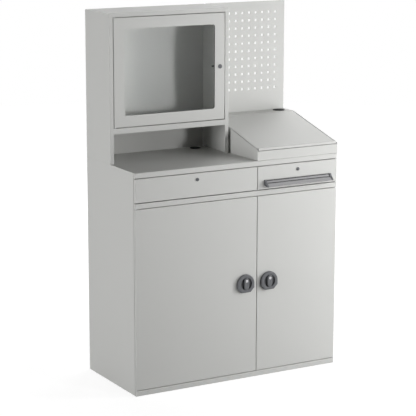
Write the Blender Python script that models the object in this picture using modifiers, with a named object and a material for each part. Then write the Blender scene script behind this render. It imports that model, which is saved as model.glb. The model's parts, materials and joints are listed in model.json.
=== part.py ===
"""Industrial computer workstation: steel cupboard base with drawers, monitor cabinet,
sloping lectern and perforated tool panel. Metres, +Z up, the front faces -Y.
The origin is the middle of the footprint on the floor, handles included."""

import math

import bmesh
import bpy
from mathutils import Matrix, Vector

# Overall sizes.
WIDTH = 1.100
DEPTH = 0.500
LEFT_BAY = 0.650
CASE_WIDTH = 0.637
CASE_DEPTH = 0.250
CASE_HEIGHT = 0.7025
CASE_SIDE_GAP = 0.013

# Heights of the stacked fronts.
RAIL_HEIGHT = 0.025
DOOR_HEIGHT = 0.8605
DRAWER_HEIGHT = 0.112
REVEAL = 0.0025

# Sheet metal and clearances.
SHEET = 0.0015
SEAT = 0.0003
FRONT_FOLD = 0.012
FOLD_RADIUS = 0.003
SIDE_FLANGE = 0.020
PARTITION_WIDTH = 0.025
FLOOR_LIP = 0.020
CORNER_CLEARANCE = 0.0005

# Door pivots.
PIVOT_RADIUS = 0.0025
PIVOT_INSET = 0.006
PIVOT_ENGAGEMENT = 0.008

# Cupboard shelves.
SHELF_SETBACK = 0.055
SHELF_LEVEL = 0.450

# Drawer runners and boxes.
RUNNER_HEIGHT = 0.042
RUNNER_DEPTH = 0.0125
RUNNER_SHEET = 0.0012
RUNNER_LENGTH = 0.440
RUNNER_FOOT = 0.030
KEYBOARD_BOX_HEIGHT = 0.045
TOOL_BOX_HEIGHT = 0.064
BOX_LIFT = 0.008

# Key locks.
LOCK_HEAD_DEPTH = 0.0025
DRAWER_LOCK_HEAD_RADIUS = 0.008
DRAWER_LOCK_BARREL_RADIUS = 0.0063
LOCK_DROP = 0.030
TONGUE_SHEET = 0.0025
TONGUE_WIDTH = 0.009
TONGUE_REACH = 0.037
TONGUE_GAP = 0.0025
KEYWAY_WIDTH = 0.0019
KEYWAY_LENGTH = 0.0095

# Pull bar of the tool drawer, inset from both ends of its bay.
PULL_INSET = 0.0375
PULL_CAP = 0.010
PULL_RISE = 0.014
PULL_HEIGHT = 0.030
PULL_REACH = 0.030

# Turning door handles.
HANDLE_OFFSET = 0.065
HANDLE_LEVEL = 0.470
HANDLE_RADIUS = 0.046
HANDLE_DEPTH = 0.013
HANDLE_DISH_RADIUS = 0.030
HANDLE_DISH_DEPTH = 0.0095
HANDLE_EDGE = 0.003
HANDLE_SIDE_DROP = 0.021
HANDLE_BASE_DROP = 0.042
HANDLE_BASE_WIDTH = 0.048
LEVER_WIDTH = 0.025
LEVER_PROUD = 0.004
LEVER_CLEARANCE = 0.0008
SPINDLE_RADIUS = 0.005
SPINDLE_SHOULDER = 0.001
KEY_RADIUS = 0.0065
KEY_RISE = 0.0155
KEY_PROUD = 0.0012
KEY_SLOT_WIDTH = 0.0018
KEY_SLOT_LENGTH = 0.0078

# Lock rods behind the cupboard doors.
ROD_SHEET = 0.0024
ROD_WIDTH = 0.010
ROD_LAYER = 0.0005
ROD_THROW = 0.010
DRIVE_PIN_RADIUS = 0.0025
DRIVE_SLACK = 0.0026
ROD_FOOT_WALL = 0.003

# Monitor cabinet.
STILE = 0.020
TOP_RAIL = 0.0185
NICHE_HEIGHT = 0.1415
CASE_SHELF = 0.0255
MONITOR_FOLD = 0.018
WINDOW_FRAME = 0.054
WINDOW_RADIUS = 0.012
PANE = 0.004
PANE_LAP = 0.012
RETAINER_LAP = 0.016
RETAINER = 0.003
MONITOR_LOCK_INSET = 0.026
MONITOR_LOCK_HEAD_RADIUS = 0.0105
MONITOR_LOCK_BARREL_RADIUS = 0.0085
MONITOR_TONGUE_REACH = 0.033

# Lectern.
APRON_HEIGHT = 0.0455
LID_FRONT_RISE = 0.053
LIP_RISE = 0.0065
LIP_DEPTH = 0.010
LID_GAP = 0.0040
LEDGE_HEIGHT = 0.1565
LEDGE_DEPTH = 0.090
KNUCKLE_RADIUS = 0.003
KNUCKLE_BORE = 0.0018
HINGE_WIRE = 0.0015
KNUCKLES = 7
KNUCKLE_GAP = 0.0006
LEAF_GAP = 0.0015

# Perforated panel.
PANEL_FOLD = 0.008
HOLE = 0.011
HOLE_PITCH = 0.038
HOLE_EDGE = 0.040
TOP_ROW_DROP = 0.054
LOWEST_ROW_RISE = 0.090

# Cable grommets.
LECTERN_GROMMET_RADIUS = 0.030
WORKTOP_GROMMET_RADIUS = 0.027
GROMMET_RIM = 0.0035
GROMMET_CAP = 0.0025
GROMMET_DEPTH = 0.012
GROMMET_INSET = 0.055
WORKTOP_GROMMET_INSET = 0.067
WORKTOP_GROMMET_BACK = 0.040

# Modelling limits.
WELD_DISTANCE = 0.00001
FLAT_ANGLE = math.radians(0.5)
SMOOTH_ANGLE = math.radians(40)

# Planes derived from the sizes.
LEFT = -WIDTH / 2
RIGHT = WIDTH / 2
FRONT = -(DEPTH - PULL_REACH) / 2
BACK = FRONT + DEPTH
SPLIT = LEFT + LEFT_BAY
PIVOT_SETBACK = FRONT_FOLD / 2
CLOSING_GAP = math.hypot(PIVOT_INSET, PIVOT_SETBACK) - PIVOT_SETBACK + CORNER_CLEARANCE
CARCASS_FRONT = FRONT + FRONT_FOLD + CLOSING_GAP
INNER_LEFT = LEFT + SHEET + SEAT
INNER_RIGHT = RIGHT - SHEET - SEAT
REAR_FACE = BACK - SHEET - SEAT
PARTITION_LEFT = SPLIT - PARTITION_WIDTH / 2
PARTITION_RIGHT = SPLIT + PARTITION_WIDTH / 2
PULL_LENGTH = RIGHT - SPLIT - 2 * PULL_INSET
CUT_REACH = 3 * SHEET
NOSE_RADIUS = SPINDLE_RADIUS - SPINDLE_SHOULDER

DOOR_FOOT = RAIL_HEIGHT + REVEAL
DOOR_HEAD = DOOR_FOOT + DOOR_HEIGHT
DECK_FOOT = DOOR_HEAD + REVEAL
DECK_HEAD = DECK_FOOT + RAIL_HEIGHT
DRAWER_FOOT = DECK_HEAD + REVEAL
DRAWER_HEAD = DRAWER_FOOT + DRAWER_HEIGHT
WORKTOP_FOOT = DRAWER_HEAD + REVEAL
WORKTOP = WORKTOP_FOOT + RAIL_HEIGHT
ON_WORKTOP = WORKTOP + SEAT
TOP = WORKTOP + CASE_HEIGHT

CASE_FRONT = BACK - CASE_DEPTH
CASE_RIGHT = LEFT + CASE_WIDTH
LECTERN_LEFT = CASE_RIGHT + CASE_SIDE_GAP
MONITOR_PIVOT_SETBACK = PIVOT_INSET
MONITOR_GAP = math.hypot(PIVOT_INSET, MONITOR_PIVOT_SETBACK) - PIVOT_INSET + CORNER_CLEARANCE

LEDGE = WORKTOP + LEDGE_HEIGHT
LECTERN_BACK = BACK - PANEL_FOLD - SEAT
HINGE_Y = LECTERN_BACK - LEDGE_DEPTH - KNUCKLE_RADIUS - LEAF_GAP
HINGE_Z = LEDGE - KNUCKLE_RADIUS

HOLE_COLUMNS = 1 + math.floor((RIGHT - LECTERN_LEFT - 2 * HOLE_EDGE - HOLE) / HOLE_PITCH)
HOLE_ROWS = 1 + math.floor((TOP - TOP_ROW_DROP - LEDGE - LOWEST_ROW_RISE) / HOLE_PITCH)

PAINT = ("light_grey_paint", (0.60, 0.60, 0.585), 0.45, 0.0)
DARK_PLASTIC = ("dark_grey_plastic", (0.075, 0.080, 0.090), 0.45, 0.0)
BLACK_PLASTIC = ("black_plastic", (0.012, 0.012, 0.013), 0.50, 0.0)
ALUMINIUM = ("anodised_aluminium", (0.55, 0.56, 0.57), 0.35, 1.0)
ZINC = ("zinc_plated_steel", (0.50, 0.51, 0.52), 0.40, 1.0)
CHROME = ("polished_chrome", (0.80, 0.80, 0.81), 0.12, 1.0)
ACRYLIC = ("clear_acrylic", (0.80, 0.85, 0.85), 0.08, 0.0)

AXES = "XYZ"
SIDES = {
    "left": "-X", "right": "+X", "front": "-Y", "back": "+Y", "bottom": "-Z", "top": "+Z",
}


def clear_scene():
    for old in list(bpy.data.objects):
        bpy.data.objects.remove(old, do_unlink=True)


def new_collection(name):
    group = bpy.data.collections.new(name)
    bpy.context.scene.collection.children.link(group)
    return group


clear_scene()
PARTS = new_collection("computer_workstation")
HELPERS = new_collection("cutters")


def material_of(look):
    name, colour, roughness, metallic = look
    found = bpy.data.materials.get(name)
    if found:
        return found
    made = bpy.data.materials.new(name)
    made.use_nodes = True
    shader = made.node_tree.nodes["Principled BSDF"]
    shader.inputs["Base Color"].default_value = (*colour, 1.0)
    shader.inputs["Roughness"].default_value = roughness
    shader.inputs["Metallic"].default_value = metallic
    return made


def side_axis(side):
    """The axis number of a side, and -1 or 1 for its direction."""
    direction, axis = SIDES[side]
    return AXES.index(axis), -1 if direction == "-" else 1


def axis_turn(axis):
    """The turn that lays a shape's own Z along an axis."""
    if axis == "X":
        return Matrix(((0, 0, 1), (1, 0, 0), (0, 1, 0)))
    if axis == "Y":
        return Matrix(((1, 0, 0), (0, 0, -1), (0, 1, 0)))
    return Matrix.Identity(3)


def shade_round(mesh):
    """Smooth shading over curved faces, with the sharp edges kept."""
    mesh.shade_smooth()
    mesh.set_sharp_from_angle(angle=SMOOTH_ANGLE)


def place(name, mesh, location, turn=None):
    """Put a mesh in the helper collection; finish() makes it a part."""
    made = bpy.data.objects.new(name, mesh)
    made.location = location
    if turn is not None:
        made.rotation_euler = turn.to_euler()
    made.hide_render = True
    made.display_type = "WIRE"
    HELPERS.objects.link(made)
    return made


def block(name, low, high, soft_side=None, other_side=None):
    """A box between two corners; soft_side rounds that side's edges, or its one edge with other_side."""
    low = Vector(low)
    high = Vector(high)
    shape = bmesh.new()
    bmesh.ops.create_cube(shape, size=1.0)
    bmesh.ops.scale(shape, vec=high - low, verts=shape.verts)
    edges = list(shape.edges)
    for side in (soft_side, other_side):
        if side:
            axis, sign = side_axis(side)
            limit = (high - low)[axis] / 2 - WELD_DISTANCE
            edges = [edge for edge in edges if all(v.co[axis] * sign > limit for v in edge.verts)]
    if soft_side:
        bmesh.ops.bevel(shape, geom=edges, offset=FOLD_RADIUS, segments=3, profile=0.5, affect="EDGES")
    mesh = bpy.data.meshes.new(name)
    shape.to_mesh(mesh)
    shape.free()
    return place(name, mesh, (low + high) / 2)


def bar(name, centre, axis, length, radius, segments=24):
    """A round bar about a point on its axis, half its length each way."""
    shape = bmesh.new()
    bmesh.ops.create_cone(
        shape, cap_ends=True, segments=segments, radius1=radius, radius2=radius, depth=length
    )
    mesh = bpy.data.meshes.new(name)
    shape.to_mesh(mesh)
    shape.free()
    shade_round(mesh)
    return place(name, mesh, Vector(centre), axis_turn(axis))


def bar_between(name, centre, axis, low, high, radius, segments=24):
    """A round bar along an axis, between two positions on that axis."""
    middle = Vector(centre)
    middle[AXES.index(axis)] = (low + high) / 2
    return bar(name, middle, axis, high - low, radius, segments)


def outline(name, points, axis, low, high, edge=0.0):
    """A flat outline pushed along X (points are y, z) or along Y (points are x, z)."""
    curve = bpy.data.curves.new(name, "CURVE")
    curve.dimensions = "2D"
    curve.fill_mode = "BOTH"
    curve.extrude = (high - low) / 2
    spline = curve.splines.new("POLY")
    spline.points.add(len(points) - 1)
    for point, (across, up) in zip(spline.points, points):
        point.co = (across, up, 0.0, 1.0)
    spline.use_cyclic_u = True
    drawn = bpy.data.objects.new(name, curve)
    HELPERS.objects.link(drawn)
    bpy.context.view_layer.update()
    mesh = bpy.data.meshes.new_from_object(drawn.evaluated_get(bpy.context.evaluated_depsgraph_get()))
    bpy.data.objects.remove(drawn)
    shape = bmesh.new()
    shape.from_mesh(mesh)
    bmesh.ops.remove_doubles(shape, verts=shape.verts, dist=WELD_DISTANCE)
    bmesh.ops.dissolve_limit(shape, angle_limit=FLAT_ANGLE, verts=shape.verts, edges=shape.edges)
    if edge:
        rim = max(v.co.z for v in shape.verts) - WELD_DISTANCE
        edges = [line for line in shape.edges if all(v.co.z > rim for v in line.verts)]
        bmesh.ops.bevel(shape, geom=edges, offset=edge, segments=3, profile=0.5, affect="EDGES")
    bmesh.ops.recalc_face_normals(shape, faces=shape.faces)
    shape.to_mesh(mesh)
    shape.free()
    shade_round(mesh)
    middle = Vector((0.0, 0.0, 0.0))
    middle[AXES.index(axis)] = (low + high) / 2
    return place(name, mesh, middle, axis_turn(axis))


def arc(centre, radius, start, stop, steps):
    """Points on an arc, angles in degrees."""
    angles = [math.radians(start + (stop - start) * i / steps) for i in range(steps + 1)]
    return [(centre[0] + radius * math.cos(a), centre[1] + radius * math.sin(a)) for a in angles]


def rounded_rectangle(low, high, radius, steps=4):
    x0, z0 = low
    x1, z1 = high
    points = arc((x1 - radius, z1 - radius), radius, 0, 90, steps)
    points += arc((x0 + radius, z1 - radius), radius, 90, 180, steps)
    points += arc((x0 + radius, z0 + radius), radius, 180, 270, steps)
    points += arc((x1 - radius, z0 + radius), radius, 270, 360, steps)
    return points


def change(target, others, operation):
    for other in others:
        step = target.modifiers.new(other.name, "BOOLEAN")
        step.operation = operation
        step.solver = "EXACT"
        step.object = other
    return target


def joined(target, *others):
    return change(target, others, "UNION")


def cut(target, *others):
    return change(target, others, "DIFFERENCE")


def pan(name, low, high, open_side, soft=True):
    """A folded sheet tray, open on one side, its closed face softly rounded."""
    opposite = {
        "left": "right", "right": "left", "front": "back",
        "back": "front", "bottom": "top", "top": "bottom",
    }
    tray = block(name, low, high, opposite[open_side] if soft else None)
    return cut(tray, hollow(name + "_hollow", low, high, open_side))


def hollow(name, low, high, open_side):
    """The inside of a folded tray, reaching out through its open side."""
    axis, sign = side_axis(open_side)
    inner_low = [value + SHEET for value in low]
    inner_high = [value - SHEET for value in high]
    if sign < 0:
        inner_low[axis] = low[axis] - SHEET
    else:
        inner_high[axis] = high[axis] + SHEET
    return block(name, inner_low, inner_high)


def finish(part, look, axis=None):
    """Make a shape a visible part, on its joint's axis if it moves."""
    HELPERS.objects.unlink(part)
    PARTS.objects.link(part)
    part.hide_render = False
    part.display_type = "TEXTURED"
    part.data.materials.append(material_of(look))
    if axis:
        part.parent = axis
        part.matrix_parent_inverse = Matrix.Translation(axis["rest"]).inverted()
    return part


def joint_axis(name, position, parent=None):
    """An empty on a joint's axis, for the pieces that move with it."""
    empty = bpy.data.objects.new(name, None)
    empty.location = position
    empty.empty_display_size = 0.05
    empty["rest"] = tuple(position)
    if parent:
        empty.parent = parent
        empty.matrix_parent_inverse = Matrix.Translation(parent["rest"]).inverted()
    PARTS.objects.link(empty)
    return empty


def handle_spot(sign):
    """Centre of a turning handle: sign is -1 on the left door and 1 on the right door."""
    return SPLIT + sign * HANDLE_OFFSET


def pivot_spot(sign):
    """Pivot of a cupboard door in plan: sign is -1 on the left door and 1 on the right door."""
    edge = LEFT if sign < 0 else RIGHT
    return edge - sign * PIVOT_INSET, FRONT + PIVOT_SETBACK


ROD_LEVELS = []
for layer in range(3):
    near = FRONT + SHEET + 2 * ROD_LAYER + layer * (ROD_SHEET + ROD_LAYER)
    ROD_LEVELS.append((near, near + ROD_SHEET))


def rod_slot(name, centre, level, low, high):
    """A cutter for the hole a lock rod slides through."""
    near, far = ROD_LEVELS[level]
    half = ROD_WIDTH / 2 + SEAT
    return block(name, (centre - half, near - SEAT, low), (centre + half, far + SEAT, high))


def build_side(name, outer, sign):
    """A base side: web with an inward front flange, left clear for the deck."""
    inner = outer + sign * SHEET
    flange = outer + sign * SIDE_FLANGE
    web = block(
        name,
        (min(outer, inner), CARCASS_FRONT, 0.0),
        (max(outer, inner), BACK, WORKTOP),
    )
    low_flange = block(
        name + "_low_flange",
        (min(outer, flange), CARCASS_FRONT, RAIL_HEIGHT + SEAT),
        (max(outer, flange), CARCASS_FRONT + SHEET, DECK_FOOT - SEAT),
    )
    high_flange = block(
        name + "_high_flange",
        (min(outer, flange), CARCASS_FRONT, DECK_HEAD + SEAT),
        (max(outer, flange), CARCASS_FRONT + SHEET, WORKTOP_FOOT - SEAT),
    )
    finish(joined(web, low_flange, high_flange), PAINT)


def overlay_rail(name, foot, back):
    """Outer block of a full-width tray whose front rail covers the side edges."""
    rail = block(name, (LEFT, FRONT, foot), (RIGHT, FRONT + FRONT_FOLD, foot + RAIL_HEIGHT), "front")
    body = block(
        name + "_body",
        (INNER_LEFT, FRONT + FOLD_RADIUS, foot),
        (INNER_RIGHT, back, foot + RAIL_HEIGHT),
    )
    return joined(rail, body)


def rail_hollow(name, foot, back, open_side):
    return hollow(name, (INNER_LEFT, FRONT, foot), (INNER_RIGHT, back, foot + RAIL_HEIGHT), open_side)


def build_base():
    build_side("left_side_panel", LEFT, 1)
    build_side("right_side_panel", RIGHT, -1)
    rear = block(
        "rear_panel",
        (INNER_LEFT, BACK - SHEET, SHEET),
        (INNER_RIGHT, BACK, WORKTOP_FOOT - SEAT),
    )
    finish(rear, PAINT)

    floor = overlay_rail("floor_tray", 0.0, REAR_FACE)
    mouth = block(
        "floor_mouth",
        (INNER_LEFT + FLOOR_LIP, FRONT + FLOOR_LIP, -SHEET),
        (INNER_RIGHT - FLOOR_LIP, REAR_FACE - FLOOR_LIP, RAIL_HEIGHT / 2),
    )
    cavity = block(
        "floor_cavity",
        (INNER_LEFT + SHEET, FRONT + SHEET, SHEET),
        (INNER_RIGHT - SHEET, REAR_FACE - SHEET, RAIL_HEIGHT - SHEET),
    )
    deck = overlay_rail("drawer_deck", DECK_FOOT, REAR_FACE)
    cutters = [mouth, cavity]
    deck_cutters = [rail_hollow("deck_hollow", DECK_FOOT, REAR_FACE, "top")]
    deck_middle = DECK_FOOT + RAIL_HEIGHT / 2
    for side, sign in (("left", -1), ("right", 1)):
        x, y = pivot_spot(sign)
        hole = PIVOT_RADIUS + SEAT
        cutters.append(
            bar_between(side + "_floor_pivot_hole", (x, y, 0), "Z", RAIL_HEIGHT / 2, DOOR_FOOT, hole)
        )
        deck_cutters.append(
            bar_between(side + "_deck_pivot_hole", (x, y, 0), "Z", DOOR_HEAD, deck_middle, hole)
        )
        spot = handle_spot(sign)
        cutters.append(rod_slot(side + "_floor_rod_slot", spot, 2, RAIL_HEIGHT / 2, DOOR_FOOT))
        deck_cutters.append(rod_slot(side + "_deck_rod_slot", spot, 1, DOOR_HEAD, deck_middle))
    finish(cut(floor, *cutters), PAINT)
    finish(cut(deck, *deck_cutters), PAINT)

    low_partition = pan(
        "cupboard_partition",
        (PARTITION_LEFT, CARCASS_FRONT, RAIL_HEIGHT + SEAT),
        (PARTITION_RIGHT, REAR_FACE, DECK_FOOT - SEAT),
        "back",
    )
    finish(low_partition, PAINT)
    high_partition = pan(
        "drawer_partition",
        (PARTITION_LEFT, CARCASS_FRONT, DECK_FOOT + SHEET + SEAT),
        (PARTITION_RIGHT, REAR_FACE - SHEET - SEAT, WORKTOP - SHEET - SEAT),
        "back",
    )
    grommet_x = CASE_RIGHT - WORKTOP_GROMMET_INSET
    grommet_y = BACK - WORKTOP_GROMMET_BACK
    liner_hole = WORKTOP_GROMMET_RADIUS - GROMMET_RIM + SEAT
    notch = bar_between(
        "partition_notch",
        (grommet_x, grommet_y, 0),
        "Z",
        WORKTOP - GROMMET_DEPTH - SEAT,
        WORKTOP,
        liner_hole,
    )
    finish(cut(high_partition, notch), PAINT)

    shelves = (
        ("left_shelf", INNER_LEFT, PARTITION_LEFT - SEAT),
        ("right_shelf", PARTITION_RIGHT + SEAT, INNER_RIGHT),
    )
    for name, low, high in shelves:
        shelf = pan(
            name,
            (low, CARCASS_FRONT + SHELF_SETBACK, SHELF_LEVEL),
            (high, REAR_FACE, SHELF_LEVEL + RAIL_HEIGHT),
            "bottom",
        )
        finish(shelf, PAINT)

    worktop = overlay_rail("worktop", WORKTOP_FOOT, BACK)
    hole = bar_between(
        "worktop_grommet_hole",
        (grommet_x, grommet_y, 0),
        "Z",
        WORKTOP_FOOT,
        ON_WORKTOP + SHEET,
        liner_hole,
    )
    cut(worktop, rail_hollow("worktop_hollow", WORKTOP_FOOT, BACK, "bottom"), hole)
    finish(worktop, PAINT)
    build_grommet("worktop_grommet", grommet_x, grommet_y, WORKTOP, WORKTOP_GROMMET_RADIUS)


def build_grommet(name, x, y, surface, radius):
    """A cable grommet: flanged liner closed by its cap."""
    cap = bar_between(name, (x, y, 0), "Z", surface + SEAT, surface + SEAT + GROMMET_CAP, radius, 40)
    liner = bar_between(
        name + "_liner",
        (x, y, 0),
        "Z",
        surface - GROMMET_DEPTH,
        surface + SEAT + GROMMET_CAP / 2,
        radius - GROMMET_RIM,
        40,
    )
    finish(joined(cap, liner), BLACK_PLASTIC)


def build_pivot(name, x, y, low, gap, high, axis):
    """A door's pivot rod with a thrust collar in the gap under the door."""
    rod = bar_between(name, (x, y, 0), "Z", low - PIVOT_ENGAGEMENT, high + PIVOT_ENGAGEMENT, PIVOT_RADIUS)
    collar = bar_between(
        name + "_collar", (x, y, 0), "Z", low + SEAT, low + gap - SEAT, 2 * PIVOT_RADIUS
    )
    finish(joined(rod, collar), ZINC, axis)


def pivot_holes(name, x, y, low, high):
    """Cutters for a door's pivot rod through its top and bottom folds."""
    radius = PIVOT_RADIUS + SEAT
    foot = bar_between(name + "_foot_hole", (x, y, 0), "Z", low - CUT_REACH, low + CUT_REACH, radius)
    head = bar_between(name + "_head_hole", (x, y, 0), "Z", high - CUT_REACH, high + CUT_REACH, radius)
    return foot, head


def build_door(side, sign):
    """A cupboard door with its pivot, turning handle, cam, key and lock rods."""
    low_x = LEFT if sign < 0 else SPLIT + REVEAL / 2
    high_x = SPLIT - REVEAL / 2 if sign < 0 else RIGHT
    pivot_x, pivot_y = pivot_spot(sign)
    axis = joint_axis(side + "_door_axis", (pivot_x, pivot_y, DOOR_FOOT))
    spot = handle_spot(sign)

    door = pan(side + "_door", (low_x, FRONT, DOOR_FOOT), (high_x, FRONT + FRONT_FOLD, DOOR_HEAD), "back")
    spindle_hole = bar_between(
        side + "_spindle_hole",
        (spot, 0, HANDLE_LEVEL),
        "Y",
        FRONT - CUT_REACH,
        FRONT + CUT_REACH,
        SPINDLE_RADIUS + SEAT,
    )
    cut(
        door,
        spindle_hole,
        *pivot_holes(side + "_door", pivot_x, pivot_y, DOOR_FOOT, DOOR_HEAD),
        rod_slot(side + "_head_slot", spot, 1, DOOR_HEAD - CUT_REACH, DOOR_HEAD + CUT_REACH),
        rod_slot(side + "_foot_slot", spot, 2, DOOR_FOOT - CUT_REACH, DOOR_FOOT + CUT_REACH),
    )
    finish(door, PAINT, axis)
    build_pivot(side + "_door_pivot", pivot_x, pivot_y, RAIL_HEIGHT, REVEAL, DECK_FOOT, axis)
    build_handle(side, spot, axis)


def build_handle(side, spot, door_axis):
    """The handle: a dished plate, a lever turning in it, and what the lever drives."""
    centre = (spot, 0.0, HANDLE_LEVEL)
    seat = FRONT - SEAT
    face = seat - HANDLE_DEPTH
    dish_floor = face + HANDLE_DISH_DEPTH
    shape = arc((spot, HANDLE_LEVEL), HANDLE_RADIUS, 0, 180, 24)
    shoulder = HANDLE_LEVEL - HANDLE_SIDE_DROP
    floor = HANDLE_LEVEL - HANDLE_BASE_DROP
    flat = HANDLE_BASE_WIDTH / 2
    shape += [
        (spot - HANDLE_RADIUS, shoulder),
        (spot - flat, floor),
        (spot + flat, floor),
        (spot + HANDLE_RADIUS, shoulder),
    ]
    plate = outline(side + "_handle_plate", shape, "Y", face, seat, HANDLE_EDGE)
    dish = bar_between(
        side + "_handle_dish", centre, "Y", face - SHEET, dish_floor, HANDLE_DISH_RADIUS, 40
    )
    through = bar_between(
        side + "_handle_through", centre, "Y", face, seat + SHEET, SPINDLE_RADIUS + SEAT
    )
    finish(cut(plate, dish, through), DARK_PLASTIC, door_axis)

    turn_axis = joint_axis(side + "_handle_axis", (spot, FRONT, HANDLE_LEVEL), door_axis)
    lever_back = dish_floor - SEAT
    lever_face = face - LEVER_PROUD
    half = LEVER_WIDTH / 2
    reach = HANDLE_DISH_RADIUS - LEVER_CLEARANCE - half
    grip = arc((spot, HANDLE_LEVEL + reach), half, 0, 180, 10)
    grip += arc((spot, HANDLE_LEVEL - reach), half, 180, 360, 10)
    lever = outline(side + "_handle_lever", grip, "Y", lever_face, lever_back, HANDLE_EDGE / 2)
    cam_near, cam_far = ROD_LEVELS[0]
    shaft = bar_between(
        side + "_spindle", centre, "Y", lever_face + HANDLE_EDGE, cam_near - SEAT, SPINDLE_RADIUS
    )
    nose = bar_between(
        side + "_spindle_nose", centre, "Y", lever_face + HANDLE_EDGE, cam_far, NOSE_RADIUS
    )
    key_z = HANDLE_LEVEL + KEY_RISE
    key_centre = (spot, 0.0, key_z)
    key_floor = lever_back - SHEET
    socket = bar_between(
        side + "_key_socket", key_centre, "Y", lever_face - SHEET, key_floor, KEY_RADIUS + SEAT
    )
    finish(cut(joined(lever, shaft, nose), socket), DARK_PLASTIC, turn_axis)

    key_axis = joint_axis(side + "_key_axis", (spot, lever_face, key_z), turn_axis)
    key = bar_between(
        side + "_key_plug", key_centre, "Y", lever_face - KEY_PROUD, key_floor - SEAT, KEY_RADIUS
    )
    slot = block(
        side + "_key_slot",
        (spot - KEY_SLOT_WIDTH / 2, lever_face - 2 * KEY_PROUD, key_z - KEY_SLOT_LENGTH / 2),
        (spot + KEY_SLOT_WIDTH / 2, lever_face + 2 * KEY_PROUD, key_z + KEY_SLOT_LENGTH / 2),
    )
    finish(cut(key, slot), CHROME, key_axis)
    build_drive(side, spot, turn_axis, door_axis)


def build_drive(side, spot, turn_axis, door_axis):
    """The cam behind the door and the two rods that it pushes up and down."""
    centre = (spot, 0.0, HANDLE_LEVEL)
    cam_near, cam_far = ROD_LEVELS[0]
    half = SPINDLE_RADIUS + 2 * SHEET
    plate = arc((spot + ROD_THROW, HANDLE_LEVEL), half, -90, 90, 10)
    plate += arc((spot - ROD_THROW, HANDLE_LEVEL), half, 90, 270, 10)
    cam = outline(side + "_handle_cam", plate, "Y", cam_near, cam_far)
    bore = bar_between(
        side + "_cam_bore", centre, "Y", cam_near - SHEET, cam_far + SHEET, NOSE_RADIUS + SEAT
    )
    pins = []
    for level, sign in ((1, -1), (2, 1)):
        near, far = ROD_LEVELS[level]
        spot_pin = (spot + sign * ROD_THROW, 0.0, HANDLE_LEVEL)
        pins.append(
            bar_between(
                side + "_drive_pin_" + str(level),
                spot_pin,
                "Y",
                cam_near + SHEET / 2,
                far - SEAT,
                DRIVE_PIN_RADIUS,
                16,
            )
        )
    finish(joined(cut(cam, bore), *pins), ZINC, turn_axis)

    for name, level, sign, up in (("upper_rod", 1, -1, 1), ("lower_rod", 2, 1, -1)):
        near, far = ROD_LEVELS[level]
        tip = DOOR_HEAD if up > 0 else DOOR_FOOT
        axis = joint_axis(side + "_" + name + "_axis", (spot, near, HANDLE_LEVEL), door_axis)
        slot_low = -up * (DRIVE_PIN_RADIUS + SEAT)
        slot_high = up * (DRIVE_PIN_RADIUS + DRIVE_SLACK)
        slot_in = sign * (-DRIVE_PIN_RADIUS - 2 * SEAT)
        slot_out = sign * (ROD_THROW + DRIVE_PIN_RADIUS + 2 * SEAT)
        slot_x = sorted((spot + slot_in, spot + slot_out))
        slot_z = sorted((HANDLE_LEVEL + slot_low, HANDLE_LEVEL + slot_high))
        wall = ROD_FOOT_WALL
        foot = block(
            side + "_" + name,
            (slot_x[0] - wall, near, slot_z[0] - wall),
            (slot_x[1] + wall, far, slot_z[1] + wall),
        )
        start = HANDLE_LEVEL + slot_high + up * wall / 2
        rod_z = sorted((start, tip))
        stem = block(
            side + "_" + name + "_stem",
            (spot - ROD_WIDTH / 2, near, rod_z[0]),
            (spot + ROD_WIDTH / 2, far, rod_z[1]),
        )
        slot = block(
            side + "_" + name + "_slot",
            (slot_x[0], near - SHEET, slot_z[0]),
            (slot_x[1], far + SHEET, slot_z[1]),
        )
        finish(cut(joined(foot, stem), slot), ZINC, axis)


def channel(name, wall_x, inward, layer, centre_z, length_y):
    """One member of a drawer runner: layer 0 is fixed, layer 1 carries the drawer."""
    skin = RUNNER_SHEET
    step = skin + SEAT
    half = RUNNER_HEIGHT / 2 - layer * step
    near = wall_x + inward * layer * step
    far = wall_x + inward * (RUNNER_DEPTH - (SHEET if layer == 0 else 0.0))
    xs = sorted((near, far))
    member = block(name, (xs[0], length_y[0], centre_z - half), (xs[1], length_y[1], centre_z + half))
    open_to = 1 if layer == 0 else -1
    inner_near = near + inward * skin if open_to > 0 else near - inward * skin
    inner_far = far + inward * skin if open_to > 0 else far - inward * skin
    inner = sorted((inner_near, inner_far))
    inside = block(
        name + "_inside",
        (inner[0], length_y[0] - SHEET, centre_z - half + skin),
        (inner[1], length_y[1] + SHEET, centre_z + half - skin),
    )
    return cut(member, inside)


def build_runners(prefix, wall, inward, standoff, centre_z, drawer_axis):
    """A fixed runner on a wall, with feet where it stands off, and the sliding member in it."""
    start = CARCASS_FRONT + SHEET + SEAT
    span = (start, start + RUNNER_LENGTH)
    wall_x = wall + inward * standoff
    fixed = channel(prefix + "_fixed_runner", wall_x, inward, 0, centre_z, span)
    if standoff > SHEET:
        feet = []
        for number, y in enumerate((span[0] + RUNNER_FOOT, span[1] - 2 * RUNNER_FOOT)):
            xs = sorted((wall, wall_x + inward * RUNNER_SHEET / 2))
            feet.append(
                block(
                    prefix + "_runner_foot_" + str(number),
                    (xs[0], y, centre_z - RUNNER_HEIGHT / 4),
                    (xs[1], y + RUNNER_FOOT, centre_z + RUNNER_HEIGHT / 4),
                )
            )
        joined(fixed, *feet)
    finish(fixed, ZINC)
    finish(channel(prefix + "_sliding_runner", wall_x, inward, 1, centre_z, span), ZINC, drawer_axis)
    return wall_x + inward * (RUNNER_DEPTH + SEAT)


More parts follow.
